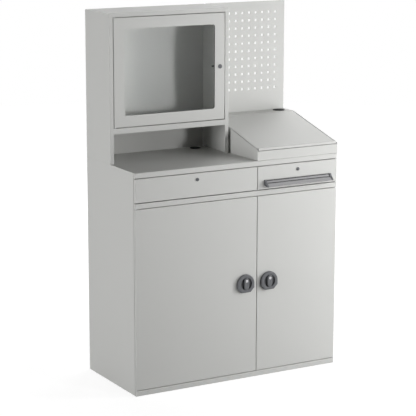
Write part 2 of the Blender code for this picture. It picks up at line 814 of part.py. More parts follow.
def build_lock(name, x, z, face, head_radius, barrel_radius, tongue_y, reach, parent_axis):
    """A key lock: turning barrel with a keyway and a tongue lying along X at rest."""
    axis = joint_axis(name + "_axis", (x, face, z), parent_axis)
    centre = (x, 0.0, z)
    head = bar_between(name, centre, "Y", face - SEAT - LOCK_HEAD_DEPTH, face - SEAT, head_radius, 32)
    barrel = bar_between(
        name + "_barrel",
        centre,
        "Y",
        face - SEAT - LOCK_HEAD_DEPTH / 2,
        tongue_y + TONGUE_SHEET,
        barrel_radius,
    )
    xs = sorted((x - math.copysign(TONGUE_WIDTH / 2, reach), x + reach))
    tongue = block(
        name + "_tongue",
        (xs[0], tongue_y, z - TONGUE_WIDTH / 2),
        (xs[1], tongue_y + TONGUE_SHEET, z + TONGUE_WIDTH / 2),
    )
    keyway = block(
        name + "_keyway",
        (x - KEYWAY_WIDTH / 2, face - 2 * LOCK_HEAD_DEPTH, z - KEYWAY_LENGTH / 2),
        (x + KEYWAY_WIDTH / 2, face, z + KEYWAY_LENGTH / 2),
    )
    finish(cut(joined(head, barrel, tongue), keyway), DARK_PLASTIC, axis)


def lock_hole(name, x, z, face, barrel_radius):
    return bar_between(name, (x, 0.0, z), "Y", face - CUT_REACH, face + CUT_REACH, barrel_radius + SEAT)


def build_drawer(prefix, low_x, high_x, walls, box_height):
    """A drawer: folded front, box, runners on both walls and a key lock."""
    axis = joint_axis(prefix + "_drawer_axis", ((low_x + high_x) / 2, FRONT, DRAWER_FOOT))
    lock_x = (low_x + high_x) / 2
    lock_z = DRAWER_HEAD - LOCK_DROP
    front = pan(
        prefix + "_drawer_front",
        (low_x, FRONT, DRAWER_FOOT),
        (high_x, FRONT + FRONT_FOLD, DRAWER_HEAD),
        "back",
    )
    cut(front, lock_hole(prefix + "_lock_hole", lock_x, lock_z, FRONT, DRAWER_LOCK_BARREL_RADIUS))
    finish(front, PAINT, axis)

    box_foot = DRAWER_FOOT + BOX_LIFT
    centre_z = box_foot + RUNNER_HEIGHT / 2
    box_sides = []
    for side, wall, inward, standoff in walls:
        box_sides.append(build_runners(prefix + "_" + side, wall, inward, standoff, centre_z, axis))
    box = pan(
        prefix + "_drawer_box",
        (box_sides[0], FRONT + SHEET + SEAT, box_foot),
        (box_sides[1], CARCASS_FRONT + RUNNER_LENGTH, box_foot + box_height),
        "top",
        soft=False,
    )
    finish(box, PAINT, axis)
    tongue_y = FRONT + FRONT_FOLD + TONGUE_GAP
    build_lock(
        prefix + "_lock",
        lock_x,
        lock_z,
        FRONT,
        DRAWER_LOCK_HEAD_RADIUS,
        DRAWER_LOCK_BARREL_RADIUS,
        tongue_y,
        TONGUE_REACH,
        axis,
    )
    return axis


def pull_section():
    """Section of the pull bar, in shares of its reach and of its height, from its seat's foot."""
    return (
        (0.0, 1.0), (0.2, 1.0), (0.2, 0.926), (0.15, 0.897), (0.40, 0.53), (0.467, 0.535),
        (0.50, 0.488), (0.767, 0.265), (0.943, 0.124), (1.0, 0.024), (0.953, 0.0),
        (0.887, 0.076), (0.713, 0.206), (0.433, 0.429), (0.343, 0.488), (0.15, 0.779),
        (0.087, 0.779), (0.087, 0.235), (0.0, 0.235),
    )


def pull_cap_section():
    """Section of the pull bar's end caps, in the same shares, covering the bar's own."""
    return ((0.0, 1.03), (0.22, 1.03), (0.54, 0.53), (1.0, 0.05), (0.97, -0.03), (0.0, 0.20))


def build_pull(axis):
    """The tool drawer's pull bar and its two end caps."""
    middle = (SPLIT + RIGHT) / 2
    foot = DRAWER_FOOT + PULL_RISE
    seat = FRONT - SEAT
    reach = PULL_REACH - SEAT
    inner = PULL_LENGTH / 2 - PULL_CAP - SEAT
    section = [(seat - out * reach, foot + up * PULL_HEIGHT) for out, up in pull_section()]
    finish(outline("pull_bar", section, "X", middle - inner, middle + inner), ALUMINIUM, axis)
    cap = [(seat - out * reach, foot + up * PULL_HEIGHT) for out, up in pull_cap_section()]
    left = middle - PULL_LENGTH / 2
    right = middle + PULL_LENGTH / 2
    finish(outline("pull_left_cap", cap, "X", left, left + PULL_CAP), DARK_PLASTIC, axis)
    finish(outline("pull_right_cap", cap, "X", right - PULL_CAP, right), DARK_PLASTIC, axis)


def build_monitor_side(name, outer, sign):
    """A monitor cabinet side with its front stile folded inwards."""
    xs = sorted((outer, outer + sign * STILE))
    corner = "left" if sign > 0 else "right"
    side = block(name, (xs[0], CASE_FRONT, ON_WORKTOP), (xs[1], BACK, TOP), "front", corner)
    inner = sorted((outer + sign * SHEET, outer + sign * (STILE + SHEET)))
    inside = block(
        name + "_inside",
        (inner[0], CASE_FRONT + SHEET, ON_WORKTOP - SHEET),
        (inner[1], BACK + SHEET, TOP + SHEET),
    )
    finish(cut(side, inside), PAINT)


def case_panel(name, low, high):
    """Outer block of a cabinet roof or shelf: a front rail between the stiles, a body behind."""
    rail = block(
        name,
        (LEFT + STILE + SEAT, CASE_FRONT, low),
        (CASE_RIGHT - STILE - SEAT, CASE_FRONT + MONITOR_FOLD, high),
    )
    body = block(
        name + "_body",
        (INNER_LEFT, CASE_FRONT + SHEET + SEAT, low),
        (CASE_RIGHT - SHEET - SEAT, REAR_FACE, high),
    )
    return joined(rail, body)


def case_hollows(name, low, high):
    """The inside of a cabinet roof or shelf, open below."""
    front = block(
        name + "_front_hollow",
        (LEFT + STILE + SEAT + SHEET, CASE_FRONT + SHEET, low - SHEET),
        (CASE_RIGHT - STILE - SEAT - SHEET, CASE_FRONT + MONITOR_FOLD, high - SHEET),
    )
    body = block(
        name + "_body_hollow",
        (INNER_LEFT + SHEET, CASE_FRONT + 2 * SHEET + SEAT, low - SHEET),
        (CASE_RIGHT - 2 * SHEET - SEAT, REAR_FACE - SHEET, high - SHEET),
    )
    return front, body


def build_monitor_cabinet():
    shelf_foot = WORKTOP + NICHE_HEIGHT
    shelf_head = shelf_foot + CASE_SHELF
    roof_foot = TOP - TOP_RAIL
    build_monitor_side("monitor_left_side", LEFT, 1)
    build_monitor_side("monitor_right_side", CASE_RIGHT, -1)
    back = block(
        "monitor_back",
        (INNER_LEFT, BACK - SHEET, ON_WORKTOP),
        (CASE_RIGHT - SHEET - SEAT, BACK, TOP),
    )
    finish(back, PAINT)

    pivot_x = LEFT + STILE + MONITOR_GAP + PIVOT_INSET
    pivot_y = CASE_FRONT + MONITOR_PIVOT_SETBACK
    hole = PIVOT_RADIUS + SEAT
    shelf = case_panel("monitor_shelf", shelf_foot, shelf_head)
    shelf_hole = bar_between(
        "monitor_shelf_hole", (pivot_x, pivot_y, 0), "Z", shelf_head - CUT_REACH, shelf_head + SHEET, hole
    )
    cut(shelf, *case_hollows("monitor_shelf", shelf_foot, shelf_head), shelf_hole)
    finish(shelf, PAINT)

    roof = case_panel("monitor_roof", roof_foot, TOP)
    cut(roof, *case_hollows("monitor_roof", roof_foot, TOP))
    lip = block(
        "monitor_roof_lip",
        (LEFT + STILE + SEAT, CASE_FRONT, roof_foot),
        (CASE_RIGHT - STILE - SEAT, CASE_FRONT + MONITOR_FOLD, roof_foot + SHEET),
    )
    roof_hole = bar_between(
        "monitor_roof_hole", (pivot_x, pivot_y, 0), "Z", roof_foot - SHEET, roof_foot + CUT_REACH, hole
    )
    finish(cut(joined(roof, lip), roof_hole), PAINT)
    build_monitor_door(pivot_x, pivot_y, shelf_head, roof_foot)


def build_monitor_door(pivot_x, pivot_y, low, high):
    """The glazed door: folded frame, pane, retainer, pivot and lock."""
    axis = joint_axis("monitor_door_axis", (pivot_x, pivot_y, low))
    left = LEFT + STILE + MONITOR_GAP
    right = CASE_RIGHT - STILE - MONITOR_GAP
    foot = low + MONITOR_GAP
    head = high - MONITOR_GAP
    frame = pan(
        "monitor_door_frame",
        (left, CASE_FRONT, foot),
        (right, CASE_FRONT + MONITOR_FOLD, head),
        "back",
    )
    window_low = (left + WINDOW_FRAME, foot + WINDOW_FRAME)
    window_high = (right - WINDOW_FRAME, head - WINDOW_FRAME)
    opening = outline(
        "window_opening",
        rounded_rectangle(window_low, window_high, WINDOW_RADIUS),
        "Y",
        CASE_FRONT - SHEET,
        CASE_FRONT + 2 * SHEET,
    )
    lock_x = right - MONITOR_LOCK_INSET
    lock_z = (foot + head) / 2
    cut(
        frame,
        opening,
        lock_hole("monitor_lock_hole", lock_x, lock_z, CASE_FRONT, MONITOR_LOCK_BARREL_RADIUS),
        *pivot_holes("monitor_door", pivot_x, pivot_y, foot, head),
    )
    finish(frame, PAINT, axis)

    pane_front = CASE_FRONT + SHEET + SEAT
    pane = block(
        "monitor_window",
        (window_low[0] - PANE_LAP, pane_front, window_low[1] - PANE_LAP),
        (window_high[0] + PANE_LAP, pane_front + PANE, window_high[1] + PANE_LAP),
    )
    finish(pane, ACRYLIC, axis)
    hold_front = pane_front + PANE + SEAT
    retainer = block(
        "window_retainer",
        (window_low[0] - RETAINER_LAP, hold_front, window_low[1] - RETAINER_LAP),
        (window_high[0] + RETAINER_LAP, hold_front + RETAINER, window_high[1] + RETAINER_LAP),
    )
    view = outline(
        "retainer_opening",
        rounded_rectangle(window_low, window_high, WINDOW_RADIUS),
        "Y",
        hold_front - SHEET,
        hold_front + RETAINER + SHEET,
    )
    finish(cut(retainer, view), BLACK_PLASTIC, axis)
    build_pivot("monitor_door_pivot", pivot_x, pivot_y, low, MONITOR_GAP, high, axis)
    tongue_y = CASE_FRONT + MONITOR_FOLD + TONGUE_GAP
    build_lock(
        "monitor_lock",
        lock_x,
        lock_z,
        CASE_FRONT,
        MONITOR_LOCK_HEAD_RADIUS,
        MONITOR_LOCK_BARREL_RADIUS,
        tongue_y,
        -MONITOR_TONGUE_REACH,
        axis,
    )


def slope(y):
    """Height of the lid's top surface at a depth position."""
    front_z = WORKTOP + LID_FRONT_RISE
    return front_z + (LEDGE - front_z) * (y - FRONT) / (HINGE_Y - FRONT)


def knuckle(name, low, high, tab_y):
    """A hinge knuckle about the lid's axis with a tab towards its leaf."""
    tube = bar_between(name, (0, HINGE_Y, HINGE_Z), "X", low, high, KNUCKLE_RADIUS, 20)
    ys = sorted((HINGE_Y + math.copysign(KNUCKLE_BORE + SEAT, tab_y - HINGE_Y), tab_y))
    tab = block(name + "_tab", (low, ys[0], HINGE_Z - SHEET / 2), (high, ys[1], HINGE_Z + SHEET / 2))
    return tube, tab


def build_lectern():
    left = LECTERN_LEFT
    right = RIGHT
    hinge_low = left + SHEET + LID_GAP
    hinge_high = right - SHEET - LID_GAP
    pitch = (hinge_high - hinge_low) / KNUCKLES
    spans = []
    for number in range(KNUCKLES):
        start = hinge_low + number * pitch + KNUCKLE_GAP / 2
        spans.append((start, start + pitch - KNUCKLE_GAP))
    bore = bar_between(
        "lid_hinge_bore", (0, HINGE_Y, HINGE_Z), "X", left - SHEET, right + SHEET, KNUCKLE_BORE, 16
    )

    cheek = [
        (FRONT, ON_WORKTOP),
        (LECTERN_BACK, ON_WORKTOP),
        (LECTERN_BACK, LEDGE),
        (HINGE_Y, LEDGE),
        (FRONT, slope(FRONT)),
    ]
    housing = outline("lectern_housing", cheek, "X", left, left + SHEET)
    far_cheek = outline("lectern_far_cheek", cheek, "X", right - SHEET, right)
    lap = SHEET / 2
    apron_front = FRONT + SEAT
    apron = block(
        "lectern_apron",
        (left + lap, apron_front, ON_WORKTOP + SEAT),
        (right - lap, apron_front + SHEET, WORKTOP + APRON_HEIGHT),
    )
    rear_back = LECTERN_BACK - SEAT
    rear = block(
        "lectern_rear",
        (left + lap, rear_back - SHEET, ON_WORKTOP + SEAT),
        (right - lap, rear_back, LEDGE - SEAT - lap),
    )
    ledge_front = LECTERN_BACK - LEDGE_DEPTH
    ledge = block(
        "lectern_ledge",
        (left + lap / 2, ledge_front, LEDGE - SEAT - SHEET),
        (right - lap / 2, rear_back - lap, LEDGE - SEAT),
    )
    ledge_fold = block(
        "lectern_ledge_fold",
        (left + lap, ledge_front + SEAT, LEDGE - RAIL_HEIGHT),
        (right - lap, ledge_front + SEAT + SHEET, LEDGE - SEAT - lap),
    )
    fixed = []
    for number in range(0, KNUCKLES, 2):
        fixed += knuckle("fixed_knuckle_" + str(number), *spans[number], ledge_front + SHEET)
    grommet_x = RIGHT - GROMMET_INSET
    grommet_y = LECTERN_BACK - LEDGE_DEPTH / 2
    hole = bar_between(
        "lectern_grommet_hole",
        (grommet_x, grommet_y, 0),
        "Z",
        LEDGE - CUT_REACH,
        LEDGE + CUT_REACH,
        LECTERN_GROMMET_RADIUS - GROMMET_RIM + SEAT,
        40,
    )
    joined(housing, apron, far_cheek, rear, ledge, ledge_fold, *fixed)
    finish(cut(housing, bore, hole), PAINT)
    build_grommet("lectern_grommet", grommet_x, grommet_y, LEDGE, LECTERN_GROMMET_RADIUS)
    wire = bar_between(
        "lid_hinge_wire", (0, HINGE_Y, HINGE_Z), "X", left + SEAT, right - SEAT, HINGE_WIRE, 16
    )
    finish(wire, ZINC)

    axis = joint_axis("lectern_lid_axis", ((left + right) / 2, HINGE_Y, HINGE_Z))
    lip_back = FRONT + LIP_DEPTH
    lip_top = slope(FRONT) + LIP_RISE
    lip_foot = WORKTOP + APRON_HEIGHT + REVEAL
    lid_end = HINGE_Y - KNUCKLE_RADIUS - LEAF_GAP
    fold = [
        (FRONT, lip_foot),
        (FRONT, lip_top),
        (lip_back, lip_top),
        (lip_back, slope(lip_back)),
        (lid_end, slope(lid_end)),
        (lid_end, slope(lid_end) - SHEET),
        (lip_back - SHEET, slope(lip_back - SHEET) - SHEET),
        (lip_back - SHEET, lip_top - SHEET),
        (FRONT + SHEET, lip_top - SHEET),
        (FRONT + SHEET, lip_foot),
    ]
    lid = outline("lectern_lid", fold, "X", hinge_low, hinge_high)
    moving = []
    for number in range(1, KNUCKLES, 2):
        moving += knuckle("lid_knuckle_" + str(number), *spans[number], lid_end - 2 * SHEET)
    lid_bore = bar_between(
        "lid_knuckle_bore", (0, HINGE_Y, HINGE_Z), "X", left - SHEET, right + SHEET, KNUCKLE_BORE, 16
    )
    finish(cut(joined(lid, *moving), lid_bore), PAINT, axis)


def build_panel():
    """The perforated tool panel with its edges folded back."""
    panel = pan(
        "perforated_panel",
        (LECTERN_LEFT, BACK - PANEL_FOLD, ON_WORKTOP),
        (RIGHT, BACK, TOP),
        "back",
        soft=False,
    )
    middle = (LECTERN_LEFT + RIGHT) / 2
    face = BACK - PANEL_FOLD
    first_x = middle - HOLE_PITCH * (HOLE_COLUMNS - 1) / 2
    top_z = TOP - TOP_ROW_DROP
    punch = block(
        "panel_punch",
        (first_x - HOLE / 2, face - CUT_REACH, top_z - HOLE / 2),
        (first_x + HOLE / 2, face + CUT_REACH, top_z + HOLE / 2),
    )
    for name, count, shift in (
        ("columns", HOLE_COLUMNS, (HOLE_PITCH, 0.0, 0.0)),
        ("rows", HOLE_ROWS, (0.0, 0.0, -HOLE_PITCH)),
    ):
        repeat = punch.modifiers.new(name, "ARRAY")
        repeat.count = count
        repeat.use_relative_offset = False
        repeat.use_constant_offset = True
        repeat.constant_offset_displace = shift
    finish(cut(panel, punch), PAINT)


def build_workstation():
    build_base()
    build_door("left", -1)
    build_door("right", 1)
    flange = SIDE_FLANGE + SEAT
    keyboard_walls = (
        ("left", INNER_LEFT, 1, flange),
        ("right", PARTITION_LEFT - SEAT, -1, 0.0),
    )
    build_drawer("keyboard", LEFT, SPLIT - REVEAL / 2, keyboard_walls, KEYBOARD_BOX_HEIGHT)
    tool_walls = (
        ("left", PARTITION_RIGHT + SEAT, 1, 0.0),
        ("right", INNER_RIGHT, -1, flange),
    )
    tool_axis = build_drawer("tool", SPLIT + REVEAL / 2, RIGHT, tool_walls, TOOL_BOX_HEIGHT)
    build_pull(tool_axis)
    build_monitor_cabinet()
    build_lectern()
    build_panel()


build_workstation()
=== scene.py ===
"""Looks of the industrial computer workstation: its paint, plastics and metals, the rounded
door handles, lock cores, cable grommets and screws, and a plain studio to show it in."""

import json
import math
from contextlib import contextmanager

import bmesh
import bpy
from mathutils import Matrix, Vector


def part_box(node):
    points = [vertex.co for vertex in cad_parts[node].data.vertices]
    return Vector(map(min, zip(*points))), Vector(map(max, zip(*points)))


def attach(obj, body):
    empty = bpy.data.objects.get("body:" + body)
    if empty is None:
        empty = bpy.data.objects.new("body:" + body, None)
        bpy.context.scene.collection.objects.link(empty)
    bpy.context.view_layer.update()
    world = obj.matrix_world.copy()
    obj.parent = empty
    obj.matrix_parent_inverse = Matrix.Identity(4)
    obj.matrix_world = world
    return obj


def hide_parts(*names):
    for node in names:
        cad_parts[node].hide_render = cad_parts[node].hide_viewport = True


bl_info = {
    "name": "Industrial computer workstation",
    "version": (1, 0, 0),
    "blender": (4, 5, 0),
    "location": "3D Viewport > Sidebar > Workstation",
    "description": "Finishes the workstation's metalwork and fittings and sets it in a studio",
    "category": "Object",
}

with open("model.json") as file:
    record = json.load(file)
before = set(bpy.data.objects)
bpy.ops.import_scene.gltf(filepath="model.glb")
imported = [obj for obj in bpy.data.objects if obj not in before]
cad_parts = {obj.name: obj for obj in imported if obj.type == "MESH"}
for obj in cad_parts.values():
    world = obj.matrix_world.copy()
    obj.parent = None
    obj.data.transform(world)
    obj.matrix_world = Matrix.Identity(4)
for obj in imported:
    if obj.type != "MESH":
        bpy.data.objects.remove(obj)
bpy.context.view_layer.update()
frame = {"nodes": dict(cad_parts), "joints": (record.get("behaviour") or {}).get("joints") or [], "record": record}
LOCKS = ("keyboard_lock", "tool_lock", "monitor_lock")
GROMMETS = ("worktop_grommet", "lectern_grommet")

# Ways that a face can look. The workstation's front looks along -Y.
FRONT, REAR = (0, -1, 0), (0, 1, 0)
UP, DOWN = (0, 0, 1), (0, 0, -1)
LEFT = (-1, 0, 0)

# Limits for finding and shaping edges and faces. All lengths are in metres.
TOUCH = 0.00005  # between a fitting and what it meets
NEAR = 0.00002  # coordinates closer than this count as the same
ALIGNED = 0.99  # least cosine between a face's normal and the way it should look
FULL_ROUND = 0.998  # share of a full rounding, just short of the next one
CLOSE = 0.01  # points closer than this share of a rounding are joined
TOOL_REACH = 0.01  # how far a cutting tool reaches past what it cuts
SMOOTH_ANGLE = math.radians(35)
SHARP_ANGLE = math.radians(40)

# The turn that lays a cylinder along each axis.
TURN_TO = {
    "x": (0.0, math.pi / 2, 0.0),
    "y": (math.pi / 2, 0.0, 0.0),
    "z": (0.0, 0.0, 0.0),
}
NODE_SLOT = {part["node"]: part["material_slot"] for part in frame["record"]["subparts"]}
JOINT_AT = {
    joint["name"]: Vector(joint["pos_m"]) for joint in frame["joints"] if "pos_m" in joint
}

# Sockets of the Mix node, which has a pair A and B and a result for each kind of data.
FLOAT_A, FLOAT_B, FLOAT_RESULT = 2, 3, 0
COLOUR_A, COLOUR_B, COLOUR_RESULT = 6, 7, 2

# Grain of the finishes: fine grain mixed with broad clouds.
GRAIN_DETAIL = 2.0
CLOUD_SCALE = 3.2
CLOUD_DETAIL = 3.0
GRAIN_SHARE = 0.35

# Pull bar: its grain is drawn out along X, and bands of painted shade darken it by height:
# dark bands for the shade in its groove and at its top lip, and a dimmed band over the glint
# on its bottom lip. Each band has the share of the bar's height at which it starts, and its level.
DRAWN_ALONG_X = (0.02, 1.0, 1.0)
PAINTED_SHADE_BANDS = ((0.0, 0.30), (0.13, 0.56), (0.49, 0.10), (0.62, 0.32), (0.88, 0.09))

# Pane: how it bends light, and the share of a lamp's light that it lets in, which falls to
# nothing with this power of the slant.
PANE_IOR = 1.12
PANE_PASS = 0.95
SLANT_BLEND = 0.5
SLANT_POWER = 5.0

# Door handles.
FIT_GAP = 0.0003  # room round the shaft and the key plug, and behind the lever
SOCKET_REACH = 0.005  # the reach of the tool for the key plug's socket
HOLE_LEAD = 0.002  # how far before the dish's floor the shaft's hole starts
DISH_ROUND = 0.0012
PLATE_SOFT = 0.0006
LEVER_SOFT = 0.0004
SHAFT_SOFT = 0.0006
SHAFT_SHARE = 0.8  # of the spindle's radius

# Lock cores: shares of the core's radius, then of its height.
CORE_RIM = 0.22
CORE_GROOVE = 0.06
CORE_GROOVE_DEPTH = 0.3
KEYWAY_REACH = 2

# Cable grommets, and the cable notch as shares of the cap's radius.
CAP_OVERHANG = 0.0035
CAP_ROUND = 0.0014
LID_SLOPE = 0.0006
LID_DEPTH = 0.0009
NOTCH_OFFSET = 0.58
NOTCH_RADIUS = 0.2

# Screws in the niche: Y and Z of each, on the inner face of the sheet, and their share of the
# full radius.
SHEET = 0.0015
NICHE_SCREWS = ((0.226, 1.0810), (0.228, 1.0667), (0.257, 1.0760), (0.257, 1.0630))
NICHE_SCREW_SHARE = 0.8

# Screws on the back: distance from a panel's edge, shares of the way up its sides, and X of
# those along its foot and head.
SCREW_INSET = 0.018
REAR_PANEL_SHARES = (0.0, 0.25, 0.5, 0.75, 1.0)
MONITOR_BACK_SHARES = (0.0, 0.5, 1.0)
REAR_PANEL_X = (-0.27, 0.0, 0.27)

# Screw heads: shares of the height, or of the radius for the recess's width and length.
HEAD_ROUND = 0.55
RECESS_DEPTH = 0.4
RECESS_WIDTH = 0.13
RECESS_LENGTH = 0.55

# Studio lamps: name, the setting that holds the power, place, width and height.
LAMPS = (
    ("front_key", "key_power", (1.05, -2.97, 1.56), 0.4, 0.4),
    ("left_fill", "left_power", (-5.93, -0.83, 1.42), 1.6, 1.6),
    ("right_fill", "right_power", (2.49, -1.62, 1.42), 0.8, 2.8),
    ("rear_top", "top_power", (1.82, 1.82, 4.06), 2.0, 2.0),
    ("rear_fill", "rear_power", (0.43, 4.87, 2.04), 2.0, 2.0),
)
LAMP_AIM = Vector((0.0, 0.0, 1.0))

# Camera and floor.
SENSOR_WIDTH = 36.0  # in millimetres
CLIP_END = 100.0
FLOOR_RADIUS = 9.0
FLOOR_DROP = 0.0005  # below the object's feet
FLOOR_SHADE = 0.25  # how strongly the floor that is seen takes light and shadow
GLOW_NEAR = (0.9, 0.86)  # distance from the middle, and the floor's own light there
GLOW_FAR = (2.6, 1.0)
UNBOUNCED = 0.5  # the diffuse depth is below this before light's first bounce


class WorkstationFinish(bpy.types.PropertyGroup):
    """Colours of the finishes."""

    paint_colour: bpy.props.FloatVectorProperty(
        name="Paint",
        description="Light grey powder coat on the sheet metal",
        default=(0.600, 0.603, 0.586),
        min=0.0,
        max=1.0,
        subtype="COLOR",
    )
    plastic_colour: bpy.props.FloatVectorProperty(
        name="Dark plastic",
        description="Moulded plastic of the handles, end caps and locks",
        default=(0.100, 0.104, 0.112),
        min=0.0,
        max=1.0,
        subtype="COLOR",
    )
    black_colour: bpy.props.FloatVectorProperty(
        name="Black plastic",
        description="Moulded plastic of the cable grommets",
        default=(0.014, 0.014, 0.015),
        min=0.0,
        max=1.0,
        subtype="COLOR",
    )
    aluminium_colour: bpy.props.FloatVectorProperty(
        name="Aluminium",
        description="Anodised aluminium of the pull bar",
        default=(0.56, 0.56, 0.57),
        min=0.0,
        max=1.0,
        subtype="COLOR",
    )
    zinc_colour: bpy.props.FloatVectorProperty(
        name="Zinc",
        description="Zinc plate on the runners, rods, pivots and screws",
        default=(0.55, 0.56, 0.58),
        min=0.0,
        max=1.0,
        subtype="COLOR",
    )
    chrome_colour: bpy.props.FloatVectorProperty(
        name="Chrome",
        description="Bright plate on the key plugs in the handles",
        default=(0.55, 0.55, 0.56),
        min=0.0,
        max=1.0,
        subtype="COLOR",
    )
    pane_colour: bpy.props.FloatVectorProperty(
        name="Pane",
        description="Clear window of the monitor cabinet",
        default=(0.97, 0.98, 0.98),
        min=0.0,
        max=1.0,
        subtype="COLOR",
    )


class WorkstationFittings(bpy.types.PropertyGroup):
    """Sizes of the small fittings that the looks add."""

    dish_radius: bpy.props.FloatProperty(
        name="Dish radius",
        description="Radius, at the plate's face, of the hollow that the handle's lever turns in",
        default=0.030,
        unit="LENGTH",
    )
    dish_depth: bpy.props.FloatProperty(
        name="Dish depth",
        description="Depth of the hollow below the handle plate's face",
        default=0.0095,
        unit="LENGTH",
    )
    plate_chamfer: bpy.props.FloatProperty(
        name="Plate chamfer",
        description="Size of the cut corners at the foot of the handle plate",
        default=0.0215,
        unit="LENGTH",
    )
    plate_edge: bpy.props.FloatProperty(
        name="Plate edge",
        description="Rounding of the handle plate's front edge",
        default=0.0034,
        unit="LENGTH",
    )
    lever_edge: bpy.props.FloatProperty(
        name="Lever edge",
        description="Rounding of the lever's front edge",
        default=0.0026,
        unit="LENGTH",
    )
    spindle_radius: bpy.props.FloatProperty(
        name="Spindle radius",
        description="Radius of the shaft behind the lever",
        default=0.005,
        unit="LENGTH",
    )
    core_radius: bpy.props.FloatProperty(
        name="Lock core radius",
        description="Radius of the core in each key lock",
        default=0.0062,
        unit="LENGTH",
    )
    core_height: bpy.props.FloatProperty(
        name="Lock core height",
        description="How far the core stands off the lock's head",
        default=0.0009,
        unit="LENGTH",
    )
    keyway: bpy.props.FloatVectorProperty(
        name="Keyway",
        description="Width and length of the slot for the key",
        size=2,
        default=(0.0019, 0.0080),
        unit="LENGTH",
    )
    cap_height: bpy.props.FloatProperty(
        name="Grommet cap",
        description="Height of the grommet's cap above what it sits on",
        default=0.0025,
        unit="LENGTH",
    )
    cap_rim: bpy.props.FloatProperty(
        name="Grommet rim",
        description="Width of the raised rim round the grommet's lid",
        default=0.0045,
        unit="LENGTH",
    )
    screw_radius: bpy.props.FloatProperty(
        name="Screw head radius",
        description="Radius of the pan-head screws",
        default=0.0042,
        unit="LENGTH",
    )
    screw_height: bpy.props.FloatProperty(
        name="Screw head height",
        description="Height of the pan-head screws",
        default=0.0024,
        unit="LENGTH",
    )


class WorkstationStage(bpy.types.PropertyGroup):
    """The camera, lamps and floor."""

    camera_place: bpy.props.FloatVectorProperty(
        name="Camera place",
        description="Where the camera stands",
        default=(-3.8905, -6.7697, 2.4458),
        subtype="XYZ",
        unit="LENGTH",
    )
    camera_turn: bpy.props.FloatProperty(
        name="Camera turn",
        description="How far the view is turned to the right of straight ahead",
        default=0.5177,
        subtype="ANGLE",
    )
    camera_dip: bpy.props.FloatProperty(
        name="Camera dip",
        description="How far the view looks down",
        default=0.2079,
        subtype="ANGLE",
    )
    camera_roll: bpy.props.FloatProperty(
        name="Camera roll",
        description="How far the view leans to the left",
        default=0.0016,
        subtype="ANGLE",
    )
    camera_lens: bpy.props.FloatProperty(
        name="Lens",
        description="Focal length on a 36 mm sensor",
        default=142.76,
        unit="CAMERA",
    )
    key_power: bpy.props.FloatProperty(
        name="Front key",
        description="Power of the lamp in front on the right",
        default=26.0,
        unit="POWER",
    )
    left_power: bpy.props.FloatProperty(
        name="Left fill",
        description="Power of the wide lamp on the left",
        default=166.0,
        unit="POWER",
    )
    right_power: bpy.props.FloatProperty(
        name="Right fill",
        description="Power of the tall lamp on the right",
        default=72.0,
        unit="POWER",
    )
    top_power: bpy.props.FloatProperty(
        name="Rear top",
        description="Power of the wide lamp above and behind",
        default=68.0,
        unit="POWER",
    )
    rear_power: bpy.props.FloatProperty(
        name="Rear fill",
        description="Power of the wide lamp behind",
        default=85.0,
        unit="POWER",
    )
    ambient: bpy.props.FloatProperty(
        name="Ambient",
        description="Level of the even light from all round",
        default=0.04,
        min=0.0,
    )
    floor_colour: bpy.props.FloatVectorProperty(
        name="Floor",
        description="Pale floor as the object's own light meets it",
        default=(0.60, 0.60, 0.60),
        min=0.0,
        max=1.0,
        subtype="COLOR",
    )


def lone(piece):
    """Makes a piece the only selected object and the active one."""
    bpy.ops.object.select_all(action="DESELECT")
    piece.select_set(True)
    bpy.context.view_layer.objects.active = piece


@contextmanager
def editing(piece):
    """Edit mode on one piece, with nothing selected at first."""
    lone(piece)
    bpy.ops.object.mode_set(mode="EDIT")
    bpy.ops.mesh.select_all(action="DESELECT")
    yield
    bpy.ops.object.mode_set(mode="OBJECT")


def pick(piece, kind, test):
    """In edit mode, selects only the edges or faces that pass the test."""
    bpy.ops.mesh.select_mode(type="EDGE" if kind == "edges" else "FACE")
    bpy.ops.mesh.select_all(action="DESELECT")
    shape = bmesh.from_edit_mesh(piece.data)
    found = [part for part in getattr(shape, kind) if test(part)]
    if not found:
        raise RuntimeError(f"{piece.name}: no {kind} to shape")
    for part in found:
        part.select_set(True)
    shape.select_flush_mode()
    bmesh.update_edit_mesh(piece.data)


def facing(direction):
    """A test for faces that look along a direction."""
    wanted = Vector(direction)
    return lambda face: face.normal.dot(wanted) > ALIGNED


def along(axis, **at):
    """A test for edges along an axis, at the given coordinates of the other axes."""
    line = "xyz".index(axis)

    def test(edge):
        first, second = (corner.co for corner in edge.verts)
        if abs(first[line] - second[line]) < (first - second).length - NEAR:
            return False
        return all(abs(first["xyz".index(name)] - value) < NEAR for name, value in at.items())

    return test


def blank(name, low, high):
    """A block between two corners, to be shaped."""
    bpy.ops.object.select_all(action="DESELECT")
    bpy.ops.mesh.primitive_cube_add(size=1.0, location=(Vector(low) + Vector(high)) / 2)
    piece = bpy.context.object
    piece.name = piece.data.name = name
    piece.scale = Vector(high) - Vector(low)
    bpy.ops.object.transform_apply(location=True, rotation=True, scale=True)
    return piece


def round_blank(name, centre, axis, low, high, radius, sides=48):
    """A round bar along an axis, between two places on it, to be shaped."""
    place = Vector(centre)
    place["xyz".index(axis)] = (low + high) / 2
    bpy.ops.object.select_all(action="DESELECT")
    bpy.ops.mesh.primitive_cylinder_add(
        vertices=sides, radius=radius, depth=high - low, location=place, rotation=TURN_TO[axis]
    )
    piece = bpy.context.object
    piece.name = piece.data.name = name
    bpy.ops.object.transform_apply(location=True, rotation=True, scale=True)
    return piece


def round_ends(piece, test, radius, steps):
    """Rounds the picked edges of a block and closes the short edges left between them."""
    with editing(piece):
        pick(piece, "edges", test)
        bpy.ops.mesh.bevel(offset=radius * FULL_ROUND, segments=steps, affect="EDGES")
        bpy.ops.mesh.select_all(action="SELECT")
        bpy.ops.mesh.remove_doubles(threshold=radius * CLOSE)


